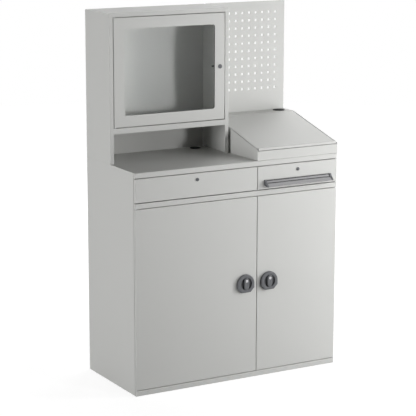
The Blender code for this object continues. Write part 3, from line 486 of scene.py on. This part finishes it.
def round_rim(piece, direction, size, steps=4):
    """Rounds the outer edge of the faces that look along a direction."""
    with editing(piece):
        pick(piece, "faces", facing(direction))
        bpy.ops.mesh.region_to_loop()
        bpy.ops.mesh.bevel(offset=size, segments=steps, affect="EDGES")


def cut_away(piece, *tools):
    """Takes the tools' shapes out of a piece and removes the tools."""
    for tool in tools:
        change = piece.modifiers.new("cut", "BOOLEAN")
        change.operation = "DIFFERENCE"
        change.solver = "EXACT"
        change.object = tool
        lone(piece)
        bpy.ops.object.modifier_apply(modifier=change.name)
        bpy.data.objects.remove(tool)


def soften(piece, size, steps=2):
    """Rounds every sharp edge of a piece a little."""
    change = piece.modifiers.new("soften", "BEVEL")
    change.width = size
    change.segments = steps
    change.limit_method = "ANGLE"
    change.angle_limit = SHARP_ANGLE
    lone(piece)
    bpy.ops.object.modifier_apply(modifier=change.name)


def shade(piece):
    """Outward normals and smooth shading up to the crisp edges."""
    with editing(piece):
        bpy.ops.mesh.select_all(action="SELECT")
        bpy.ops.mesh.normals_make_consistent(inside=False)
    bpy.ops.object.shade_smooth_by_angle(angle=SMOOTH_ANGLE)


def copied(piece, name, move):
    """A copy of a piece with its own mesh, moved into place."""
    lone(piece)
    bpy.ops.object.duplicate(linked=False)
    twin = bpy.context.object
    twin.name = twin.data.name = name
    bpy.ops.transform.translate(value=move)
    bpy.ops.object.transform_apply(location=True, rotation=True, scale=True)
    return twin


def merged(name, *pieces):
    """Several pieces joined into one object."""
    lone(pieces[0])
    for piece in pieces[1:]:
        piece.select_set(True)
    if len(pieces) > 1:
        bpy.ops.object.join()
    pieces[0].name = pieces[0].data.name = name
    return pieces[0]


def fit_piece(piece, body, slot, finish, *nodes):
    """Gives a piece its finish and its body, and hides the nodes it stands for."""
    piece.data.materials.clear()
    piece.data.materials.append(finish)
    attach(piece, body)
    if nodes:
        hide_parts(*nodes)


def grain_group():
    """Grain that the finishes share: an uneven tone, an uneven sheen and a low relief."""
    name = "surface_grain"
    if name in bpy.data.node_groups:
        return bpy.data.node_groups[name]
    group = bpy.data.node_groups.new(name, "ShaderNodeTree")
    for label, kind in (
        ("Vector", "NodeSocketVector"),
        ("Colour", "NodeSocketColor"),
        ("Grain", "NodeSocketFloat"),
        ("Tone", "NodeSocketFloat"),
        ("Sheen low", "NodeSocketFloat"),
        ("Sheen high", "NodeSocketFloat"),
        ("Relief", "NodeSocketFloat"),
    ):
        group.interface.new_socket(name=label, in_out="INPUT", socket_type=kind)
    for label, kind in (
        ("Colour", "NodeSocketColor"),
        ("Roughness", "NodeSocketFloat"),
        ("Normal", "NodeSocketVector"),
    ):
        group.interface.new_socket(name=label, in_out="OUTPUT", socket_type=kind)
    made, link = group.nodes.new, group.links.new
    given, result = made("NodeGroupInput"), made("NodeGroupOutput")
    grain, cloud = made("ShaderNodeTexNoise"), made("ShaderNodeTexNoise")
    grain.inputs["Detail"].default_value = GRAIN_DETAIL
    cloud.inputs["Scale"].default_value = CLOUD_SCALE
    cloud.inputs["Detail"].default_value = CLOUD_DETAIL
    both, tone = made("ShaderNodeMix"), made("ShaderNodeMapRange")
    both.inputs["Factor"].default_value = GRAIN_SHARE
    rise, fall = made("ShaderNodeMath"), made("ShaderNodeMath")
    rise.operation, fall.operation = "ADD", "SUBTRACT"
    rise.inputs[0].default_value = fall.inputs[0].default_value = 1.0
    tinted = made("ShaderNodeVectorMath")
    tinted.operation = "SCALE"
    sheen, relief = made("ShaderNodeMapRange"), made("ShaderNodeBump")
    relief.inputs["Strength"].default_value = 1.0
    link(given.outputs["Vector"], grain.inputs["Vector"])
    link(given.outputs["Vector"], cloud.inputs["Vector"])
    link(given.outputs["Grain"], grain.inputs["Scale"])
    link(cloud.outputs["Fac"], both.inputs[FLOAT_A])
    link(grain.outputs["Fac"], both.inputs[FLOAT_B])
    link(given.outputs["Tone"], rise.inputs[1])
    link(given.outputs["Tone"], fall.inputs[1])
    link(both.outputs[FLOAT_RESULT], tone.inputs["Value"])
    link(fall.outputs[0], tone.inputs["To Min"])
    link(rise.outputs[0], tone.inputs["To Max"])
    link(given.outputs["Colour"], tinted.inputs[0])
    link(tone.outputs["Result"], tinted.inputs["Scale"])
    link(tinted.outputs["Vector"], result.inputs["Colour"])
    link(both.outputs[FLOAT_RESULT], sheen.inputs["Value"])
    link(given.outputs["Sheen low"], sheen.inputs["To Min"])
    link(given.outputs["Sheen high"], sheen.inputs["To Max"])
    link(sheen.outputs["Result"], result.inputs["Roughness"])
    link(grain.outputs["Fac"], relief.inputs["Height"])
    link(given.outputs["Relief"], relief.inputs["Distance"])
    link(relief.outputs["Normal"], result.inputs["Normal"])
    return group


def finish_of(
    name,
    colour,
    *,
    grain,
    tone,
    sheen,
    relief,
    stretch=(1.0, 1.0, 1.0),
    metallic=0.0,
    gloss=0.5,
):
    """A finish with grain on Object coordinates, drawn out into lines where stretch is uneven."""
    if name in bpy.data.materials and bpy.data.materials[name].get("finished"):
        return bpy.data.materials[name]
    look = bpy.data.materials.new(name)
    look["finished"] = True
    look.use_nodes = True
    nodes, link = look.node_tree.nodes, look.node_tree.links.new
    shader = nodes["Principled BSDF"]
    place, drawn = nodes.new("ShaderNodeTexCoord"), nodes.new("ShaderNodeMapping")
    drawn.inputs["Scale"].default_value = stretch
    surface = nodes.new("ShaderNodeGroup")
    surface.node_tree = grain_group()
    surface.inputs["Colour"].default_value = (*colour, 1.0)
    surface.inputs["Grain"].default_value = grain
    surface.inputs["Tone"].default_value = tone
    surface.inputs["Sheen low"].default_value = sheen[0]
    surface.inputs["Sheen high"].default_value = sheen[1]
    surface.inputs["Relief"].default_value = relief
    shader.inputs["Metallic"].default_value = metallic
    shader.inputs["Specular IOR Level"].default_value = gloss
    link(place.outputs["Object"], drawn.inputs["Vector"])
    link(drawn.outputs["Vector"], surface.inputs["Vector"])
    link(surface.outputs["Colour"], shader.inputs["Base Color"])
    link(surface.outputs["Roughness"], shader.inputs["Roughness"])
    link(surface.outputs["Normal"], shader.inputs["Normal"])
    return look


def paint_finish():
    """Powder coat of the sheet metal."""
    colours = bpy.context.scene.workstation_finish
    return finish_of(
        "grey_powder_coat",
        colours.paint_colour,
        grain=620.0,
        tone=0.012,
        sheen=(0.46, 0.58),
        relief=0.00001,
        gloss=0.35,
    )


def plastic_finish():
    """Dark plastic of the handles, end caps and locks."""
    colours = bpy.context.scene.workstation_finish
    return finish_of(
        "grained_dark_plastic",
        colours.plastic_colour,
        grain=1400.0,
        tone=0.05,
        sheen=(0.36, 0.52),
        relief=0.00002,
    )


def black_finish():
    """Dull black plastic of the cable grommets."""
    colours = bpy.context.scene.workstation_finish
    return finish_of(
        "grained_black_plastic",
        colours.black_colour,
        grain=1400.0,
        tone=0.08,
        sheen=(0.52, 0.68),
        relief=0.00002,
        gloss=0.15,
    )


def aluminium_finish():
    """Drawn aluminium of the pull bar, with painted shade in bands by height for its groove and lips."""
    colours = bpy.context.scene.workstation_finish
    look = finish_of(
        "drawn_aluminium",
        colours.aluminium_colour,
        grain=900.0,
        tone=0.04,
        sheen=(0.38, 0.54),
        relief=0.000006,
        stretch=DRAWN_ALONG_X,
        metallic=1.0,
    )
    nodes, link = look.node_tree.nodes, look.node_tree.links.new
    low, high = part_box("pull_bar")
    if "grooves" not in nodes:
        place, height = nodes.new("ShaderNodeTexCoord"), nodes.new("ShaderNodeSeparateXYZ")
        share = nodes.new("ShaderNodeMapRange")
        share.inputs["From Min"].default_value = low.z
        share.inputs["From Max"].default_value = high.z
        # Painted shade: a ramp by height darkens the bar where shade falls in its groove and at its lips.
        lines, dark = nodes.new("ShaderNodeValToRGB"), nodes.new("ShaderNodeMix")
        lines.name = "grooves"
        lines.color_ramp.interpolation = "CONSTANT"
        bands = lines.color_ramp.elements
        bands.remove(bands[1])
        for number, (start, level) in enumerate(PAINTED_SHADE_BANDS):
            band = bands.new(start) if number else bands[0]
            band.color = (level, level, level, 1.0)
        dark.data_type, dark.blend_type = "RGBA", "MULTIPLY"
        dark.inputs["Factor"].default_value = 1.0
        shader = nodes["Principled BSDF"]
        link(place.outputs["Object"], height.inputs["Vector"])
        link(height.outputs["Z"], share.inputs["Value"])
        link(share.outputs["Result"], lines.inputs["Fac"])
        plain = shader.inputs["Base Color"].links[0].from_socket
        link(plain, dark.inputs[COLOUR_A])
        link(lines.outputs["Color"], dark.inputs[COLOUR_B])
        link(dark.outputs[COLOUR_RESULT], shader.inputs["Base Color"])
    return look


def zinc_finish():
    """Zinc plate of the runners, rods, pivots and screws."""
    colours = bpy.context.scene.workstation_finish
    return finish_of(
        "zinc_plate",
        colours.zinc_colour,
        grain=260.0,
        tone=0.07,
        sheen=(0.28, 0.48),
        relief=0.000008,
        metallic=1.0,
    )


def chrome_finish():
    """Bright plate of the key plugs."""
    colours = bpy.context.scene.workstation_finish
    return finish_of(
        "bright_chrome",
        colours.chrome_colour,
        grain=500.0,
        tone=0.02,
        sheen=(0.20, 0.32),
        relief=0.000002,
        metallic=1.0,
    )


def pane_finish():
    """Clear pane with faint smudges and waves, which lets in less light at a low angle."""
    colours = bpy.context.scene.workstation_finish
    look = finish_of(
        "clear_pane",
        colours.pane_colour,
        grain=45.0,
        tone=0.006,
        sheen=(0.0, 0.05),
        relief=0.000002,
    )
    nodes, link = look.node_tree.nodes, look.node_tree.links.new
    shader = nodes["Principled BSDF"]
    shader.inputs["Transmission Weight"].default_value = 1.0
    shader.inputs["IOR"].default_value = PANE_IOR
    clear, way = nodes.new("ShaderNodeBsdfTransparent"), nodes.new("ShaderNodeLightPath")
    slant, turned = nodes.new("ShaderNodeLayerWeight"), nodes.new("ShaderNodeMath")
    passed, either = nodes.new("ShaderNodeMapRange"), nodes.new("ShaderNodeMixShader")
    slant.inputs["Blend"].default_value = SLANT_BLEND
    turned.operation = "POWER"
    turned.inputs[1].default_value = SLANT_POWER
    passed.inputs["To Min"].default_value = PANE_PASS
    passed.inputs["To Max"].default_value = 0.0
    link(slant.outputs["Facing"], turned.inputs[0])
    link(turned.outputs[0], passed.inputs["Value"])
    link(passed.outputs["Result"], clear.inputs["Color"])
    link(way.outputs["Is Shadow Ray"], either.inputs["Fac"])
    link(shader.outputs["BSDF"], either.inputs[1])
    link(clear.outputs["BSDF"], either.inputs[2])
    link(either.outputs["Shader"], nodes["Material Output"].inputs["Surface"])
    return look


FINISHES = {
    "light_grey_paint": paint_finish,
    "dark_grey_plastic": plastic_finish,
    "black_plastic": black_finish,
    "anodised_aluminium": aluminium_finish,
    "zinc_plated_steel": zinc_finish,
    "polished_chrome": chrome_finish,
    "clear_pane": pane_finish,
}


class WORKSTATION_OT_finish_metalwork(bpy.types.Operator):
    """Give every solid of the workstation its paint, plastic, metal or clear finish"""

    bl_idname = "workstation.finish_metalwork"
    bl_label = "Finish metalwork"
    bl_options = {"REGISTER", "UNDO"}

    def execute(self, context):
        looks = {slot: make() for slot, make in FINISHES.items()}
        for name, node in frame["nodes"].items():
            look = looks[NODE_SLOT[name]]
            if not node.material_slots:
                node.data.materials.append(look)
            for place in node.material_slots:
                place.material = look
        return {"FINISHED"}


class WORKSTATION_OT_door_handles(bpy.types.Operator):
    """Model the rounded handle plates and levers of both cupboard doors"""

    bl_idname = "workstation.door_handles"
    bl_label = "Door handles"
    bl_options = {"REGISTER", "UNDO"}

    def execute(self, context):
        sizes = context.scene.workstation_fittings
        low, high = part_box("left_handle_plate")
        plate = self.plate(low, high, sizes)
        lever = self.lever(low, sizes)
        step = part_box("right_handle_plate")[0] - low
        twins = copied(plate, "right_handle_shell", step), copied(lever, "right_handle_grip", step)
        look = plastic_finish()
        for side, shell, grip in (("left", plate, lever), ("right", *twins)):
            fit_piece(shell, side + "_door", "dark_grey_plastic", look, side + "_handle_plate")
            fit_piece(grip, side + "_handle", "dark_grey_plastic", look, side + "_handle_lever")
        return {"FINISHED"}

    def plate(self, low, high, sizes):
        """The plate: round head, cut lower corners, soft front edge and a dish for the lever."""
        half = (high.x - low.x) / 2
        middle = Vector(((low.x + high.x) / 2, 0.0, high.z - half))
        plate = blank("left_handle_shell", low, high)
        round_ends(plate, along("y", z=high.z), half, steps=22)
        with editing(plate):
            pick(plate, "edges", along("y", z=low.z))
            bpy.ops.mesh.bevel(offset=sizes.plate_chamfer, segments=1, affect="EDGES")
        round_rim(plate, FRONT, sizes.plate_edge, steps=5)
        floor = low.y + sizes.dish_depth
        dish = round_blank(
            "dish", middle, "y", low.y - TOOL_REACH, floor, sizes.dish_radius, sides=64
        )
        round_rim(dish, REAR, DISH_ROUND)
        bore = sizes.spindle_radius + FIT_GAP
        hole = round_blank(
            "hole", middle, "y", floor - HOLE_LEAD, high.y + TOOL_REACH, bore, sides=32
        )
        cut_away(plate, dish, hole)
        soften(plate, PLATE_SOFT)
        shade(plate)
        return plate

    def lever(self, plate_low, sizes):
        """The lever: round ends, soft front edge, a socket for the key plug and its shaft."""
        low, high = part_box("left_handle_lever")
        key_low, key_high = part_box("left_key_plug")
        middle = (low + high) / 2
        back = plate_low.y + sizes.dish_depth - FIT_GAP
        lever = blank("left_handle_grip", low, (high.x, back, high.z))
        round_ends(lever, along("y"), (high.x - low.x) / 2, steps=14)
        round_rim(lever, FRONT, sizes.lever_edge, steps=5)
        key = (key_low + key_high) / 2
        bore = (key_high.x - key_low.x) / 2 + FIT_GAP
        socket = round_blank(
            "socket", key, "y", low.y - SOCKET_REACH, key_high.y + FIT_GAP, bore, sides=40
        )
        cut_away(lever, socket)
        soften(lever, LEVER_SOFT)
        radius = sizes.spindle_radius * SHAFT_SHARE
        shaft = round_blank("shaft", middle, "y", back - TOUCH, high.y, radius, sides=32)
        round_rim(shaft, REAR, SHAFT_SOFT, steps=2)
        lever = merged("left_handle_grip", lever, shaft)
        shade(lever)
        return lever


class WORKSTATION_OT_lock_cores(bpy.types.Operator):
    """Model the key cores of the two drawer locks and the monitor lock"""

    bl_idname = "workstation.lock_cores"
    bl_label = "Lock cores"
    bl_options = {"REGISTER", "UNDO"}

    def execute(self, context):
        sizes = context.scene.workstation_fittings
        spots = {}
        for name in LOCKS:
            spots[name] = JOINT_AT[name + "_turn"].copy()
            spots[name].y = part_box(name)[0].y - TOUCH
        first, *others = LOCKS
        cores = {first: self.core(first + "_core", spots[first], sizes)}
        for name in others:
            cores[name] = copied(cores[first], name + "_core", spots[name] - spots[first])
        for name, core in cores.items():
            fit_piece(core, name, "dark_grey_plastic", plastic_finish())
        return {"FINISHED"}

    def core(self, name, spot, sizes):
        """The core: a low disc with a turned groove, a round edge and a keyway."""
        front = spot.y - sizes.core_height
        core = round_blank(name, spot, "y", front, spot.y, sizes.core_radius)
        round_rim(core, FRONT, sizes.core_height / 2, steps=3)
        with editing(core):
            pick(core, "faces", facing(FRONT))
            bpy.ops.mesh.inset(thickness=sizes.core_radius * CORE_RIM, depth=0.0)
            bpy.ops.mesh.inset(
                thickness=sizes.core_radius * CORE_GROOVE,
                depth=-sizes.core_height * CORE_GROOVE_DEPTH,
            )
        width, length = sizes.keyway
        half = Vector((width / 2, sizes.core_height * KEYWAY_REACH, length / 2))
        cut_away(core, blank("keyway", spot - half, spot + half))
        shade(core)
        return core


class WORKSTATION_OT_cable_grommets(bpy.types.Operator):
    """Model the black cable grommets in the worktop and on the lectern's ledge"""

    bl_idname = "workstation.cable_grommets"
    bl_label = "Cable grommets"
    bl_options = {"REGISTER", "UNDO"}

    def execute(self, context):
        sizes = context.scene.workstation_fittings
        for name in GROMMETS:
            grommet = self.grommet(name, sizes)
            fit_piece(grommet, "carcass", "black_plastic", black_finish(), name)
        return {"FINISHED"}

    def grommet(self, name, sizes):
        """A grommet: rounded rim, sunk lid with a cable notch, and the liner in its hole."""
        low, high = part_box(name)
        middle, radius = (low + high) / 2, (high.x - low.x) / 2
        seat = high.z - sizes.cap_height
        grommet = round_blank(name + "_ring", middle, "z", seat, high.z, radius, sides=64)
        with editing(grommet):
            pick(grommet, "faces", facing(DOWN))
            bpy.ops.mesh.inset(thickness=CAP_OVERHANG, depth=0.0)
            liner = {"value": (0, 0, low.z - seat)}
            bpy.ops.mesh.extrude_region_move(TRANSFORM_OT_translate=liner)
        round_rim(grommet, UP, CAP_ROUND)
        with editing(grommet):
            pick(grommet, "faces", facing(UP))
            bpy.ops.mesh.inset(thickness=sizes.cap_rim, depth=0.0)
            bpy.ops.mesh.inset(thickness=LID_SLOPE, depth=-LID_DEPTH)
        notch = round_blank(
            "notch",
            middle + Vector((0, radius * NOTCH_OFFSET, 0)),
            "z",
            low.z - TOOL_REACH,
            high.z + TOOL_REACH,
            radius * NOTCH_RADIUS,
            sides=32,
        )
        cut_away(grommet, notch)
        shade(grommet)
        return grommet


class WORKSTATION_OT_panel_screws(bpy.types.Operator):
    """Model the pan-head screws in the niche and on the back panels"""

    bl_idname = "workstation.panel_screws"
    bl_label = "Panel screws"
    bl_options = {"REGISTER", "UNDO"}

    def execute(self, context):
        sizes = context.scene.workstation_fittings
        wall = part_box("monitor_right_side")[1].x - SHEET
        niche = [Vector((wall, y, z)) for y, z in NICHE_SCREWS]
        self.row("niche_screws", niche, LEFT, sizes.screw_radius * NICHE_SCREW_SHARE, sizes)
        low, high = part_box("rear_panel")
        rear = self.columns(low, high, REAR_PANEL_SHARES)
        rear += [
            Vector((x, high.y, z))
            for x in REAR_PANEL_X
            for z in (low.z + SCREW_INSET, high.z - SCREW_INSET)
        ]
        self.row("rear_panel_screws", rear, REAR, sizes.screw_radius, sizes)
        low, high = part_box("monitor_back")
        back = self.columns(low, high, MONITOR_BACK_SHARES)
        self.row("monitor_back_screws", back, REAR, sizes.screw_radius, sizes)
        return {"FINISHED"}

    def columns(self, low, high, shares):
        """Places for screws along both sides of a panel's rear face."""
        foot, rise = low.z + SCREW_INSET, high.z - low.z - 2 * SCREW_INSET
        return [
            Vector((x, high.y, foot + share * rise))
            for x in (low.x + SCREW_INSET, high.x - SCREW_INSET)
            for share in shares
        ]

    def row(self, name, spots, outward, radius, sizes):
        """One screw modelled at the first spot, then copied to the others and joined."""
        first = self.screw(name, spots[0], Vector(outward), radius, sizes.screw_height)
        copies = [copied(first, name + "_copy", spot - spots[0]) for spot in spots[1:]]
        fit_piece(merged(name, first, *copies), "carcass", "zinc_plated_steel", zinc_finish())

    def screw(self, name, spot, outward, radius, height):
        """A screw head: round top edge and a cross recess."""
        axis = "x" if outward.x else "y"
        number = "xyz".index(axis)
        ends = sorted(spot[number] + outward[number] * reach for reach in (TOUCH, height))
        head = round_blank(name, spot, axis, *ends, radius, sides=20)
        round_rim(head, outward, height * HEAD_ROUND)
        top = spot + outward * height
        for long_side in range(3):
            if long_side == number:
                continue
            half = Vector((radius * RECESS_WIDTH,) * 3)
            half[long_side] = radius * RECESS_LENGTH
            half[number] = height * RECESS_DEPTH
            cut_away(head, blank("recess", top - half, top + half))
        shade(head)
        return head


class WORKSTATION_OT_studio(bpy.types.Operator):
    """Set the camera, the lamps, the pale floor and the white surround"""

    bl_idname = "workstation.studio"
    bl_label = "Studio"
    bl_options = {"REGISTER", "UNDO"}

    def execute(self, context):
        stage = context.scene.workstation_stage
        context.scene.view_settings.view_transform = "Standard"
        self.camera(context, stage)
        for name, power, place, width, height in LAMPS:
            self.lamp(name, getattr(stage, power), place, width, height)
        self.floor(stage)
        self.surround(context, stage)
        return {"FINISHED"}

    def camera(self, context, stage):
        """The camera, fitted to the photo with an unshifted lens."""
        bpy.ops.object.camera_add(location=stage.camera_place)
        camera = context.object
        camera.name = "photo_camera"
        turn = Matrix.Rotation(-stage.camera_turn, 3, "Z")
        dip = Matrix.Rotation(math.pi / 2 - stage.camera_dip, 3, "X")
        roll = Matrix.Rotation(stage.camera_roll, 3, "Z")
        camera.rotation_euler = (turn @ dip @ roll).to_euler()
        camera.data.sensor_width = SENSOR_WIDTH
        camera.data.lens = stage.camera_lens
        camera.data.dof.use_dof = False
        camera.data.clip_end = CLIP_END
        context.scene.camera = camera

    def lamp(self, name, power, place, width, height):
        """A rectangular lamp aimed at the middle of the object."""
        bpy.ops.object.light_add(type="AREA", location=place)
        lamp = bpy.context.object
        lamp.name = name
        lamp.rotation_euler = (LAMP_AIM - Vector(place)).to_track_quat("-Z", "Y").to_euler()
        lamp.data.shape = "RECTANGLE"
        lamp.data.size = width
        lamp.data.size_y = height
        lamp.data.energy = power

    def floor(self, stage):
        """A wide pale floor, whose own light rises away from the object to hide its edge."""
        bpy.ops.object.select_all(action="DESELECT")
        bpy.ops.mesh.primitive_circle_add(
            vertices=96, radius=FLOOR_RADIUS, fill_type="NGON", location=(0, 0, -FLOOR_DROP)
        )
        floor = bpy.context.object
        floor.name = "studio_floor"
        bpy.ops.object.transform_apply(location=True, rotation=True, scale=True)
        look = bpy.data.materials.new("pale_floor")
        look.use_nodes = True
        nodes, link = look.node_tree.nodes, look.node_tree.links.new
        nodes.remove(nodes["Principled BSDF"])
        matt, seen = nodes.new("ShaderNodeBsdfDiffuse"), nodes.new("ShaderNodeBsdfDiffuse")
        matt.inputs["Color"].default_value = (*stage.floor_colour, 1.0)
        seen.inputs["Color"].default_value = (FLOOR_SHADE, FLOOR_SHADE, FLOOR_SHADE, 1.0)
        glow, both = nodes.new("ShaderNodeEmission"), nodes.new("ShaderNodeAddShader")
        place, far = nodes.new("ShaderNodeTexCoord"), nodes.new("ShaderNodeVectorMath")
        spread, either = nodes.new("ShaderNodeMapRange"), nodes.new("ShaderNodeMixShader")
        far.operation = "LENGTH"
        for end, (distance, level) in (("Min", GLOW_NEAR), ("Max", GLOW_FAR)):
            spread.inputs["From " + end].default_value = distance
            spread.inputs["To " + end].default_value = level
        link(place.outputs["Object"], far.inputs[0])
        link(far.outputs["Value"], spread.inputs["Value"])
        link(spread.outputs["Result"], glow.inputs["Strength"])
        link(glow.outputs["Emission"], both.inputs[0])
        link(seen.outputs["BSDF"], both.inputs[1])
        link(self.direct_sight(look.node_tree), either.inputs["Fac"])
        link(matt.outputs["BSDF"], either.inputs[1])
        link(both.outputs["Shader"], either.inputs[2])
        link(either.outputs["Shader"], nodes["Material Output"].inputs["Surface"])
        floor.data.materials.append(look)

    def surround(self, context, stage):
        """White where it is seen, mirrored or seen through a pane, and else a low even light."""
        world = context.scene.world or bpy.data.worlds.new("studio")
        context.scene.world = world
        world.use_nodes = True
        nodes, link = world.node_tree.nodes, world.node_tree.links.new
        nodes.clear()
        white, dim = nodes.new("ShaderNodeBackground"), nodes.new("ShaderNodeBackground")
        for light in (white, dim):
            light.inputs["Color"].default_value = (1.0, 1.0, 1.0, 1.0)
        dim.inputs["Strength"].default_value = stage.ambient
        either, shown = nodes.new("ShaderNodeMixShader"), nodes.new("ShaderNodeOutputWorld")
        link(self.direct_sight(world.node_tree), either.inputs["Fac"])
        link(dim.outputs["Background"], either.inputs[1])
        link(white.outputs["Background"], either.inputs[2])
        link(either.outputs["Shader"], shown.inputs["Surface"])

    def direct_sight(self, tree):
        """1 for camera, mirror and see-through rays, and 0 for the rays that carry light."""
        made, link = tree.nodes.new, tree.links.new
        way = made("ShaderNodeLightPath")
        sight, clear, fresh, shown = (made("ShaderNodeMath") for _ in range(4))
        sight.operation = clear.operation = "MAXIMUM"
        fresh.operation, shown.operation = "LESS_THAN", "MULTIPLY"
        fresh.inputs[1].default_value = UNBOUNCED
        link(way.outputs["Is Camera Ray"], sight.inputs[0])
        link(way.outputs["Is Glossy Ray"], sight.inputs[1])
        link(sight.outputs[0], clear.inputs[0])
        link(way.outputs["Is Transmission Ray"], clear.inputs[1])
        link(way.outputs["Diffuse Depth"], fresh.inputs[0])
        link(clear.outputs[0], shown.inputs[0])
        link(fresh.outputs[0], shown.inputs[1])
        return shown.outputs[0]


OPERATORS = (
    WORKSTATION_OT_finish_metalwork,
    WORKSTATION_OT_door_handles,
    WORKSTATION_OT_lock_cores,
    WORKSTATION_OT_cable_grommets,
    WORKSTATION_OT_panel_screws,
    WORKSTATION_OT_studio,
)
SETTINGS = (
    ("workstation_finish", WorkstationFinish),
    ("workstation_fittings", WorkstationFittings),
    ("workstation_stage", WorkstationStage),
)


class WORKSTATION_PT_sidebar(bpy.types.Panel):
    """The workstation's steps and settings"""

    bl_idname = "WORKSTATION_PT_sidebar"
    bl_label = "Workstation"
    bl_space_type = "VIEW_3D"
    bl_region_type = "UI"
    bl_category = "Workstation"

    def draw(self, context):
        layout = self.layout
        for operator in OPERATORS:
            layout.operator(operator.bl_idname)
        for name, group in SETTINGS:
            box = layout.box()
            for prop in group.__annotations__:
                box.prop(getattr(context.scene, name), prop)


def register():
    """Adds the settings, the steps and the panel."""
    for name, group in SETTINGS:
        bpy.utils.register_class(group)
        setattr(bpy.types.Scene, name, bpy.props.PointerProperty(type=group))
    for operator in OPERATORS:
        bpy.utils.register_class(operator)
    bpy.utils.register_class(WORKSTATION_PT_sidebar)


def unregister():
    """Takes the panel, the steps and the settings away again."""
    bpy.utils.unregister_class(WORKSTATION_PT_sidebar)
    for operator in reversed(OPERATORS):
        bpy.utils.unregister_class(operator)
    for name, group in reversed(SETTINGS):
        delattr(bpy.types.Scene, name)
        bpy.utils.unregister_class(group)


def main():
    """Runs the steps in order."""
    register()
    bpy.ops.workstation.finish_metalwork()
    bpy.ops.workstation.door_handles()
    bpy.ops.workstation.lock_cores()
    bpy.ops.workstation.cable_grommets()
    bpy.ops.workstation.panel_screws()
    bpy.ops.workstation.studio()


if __name__ == "__main__":
    main()
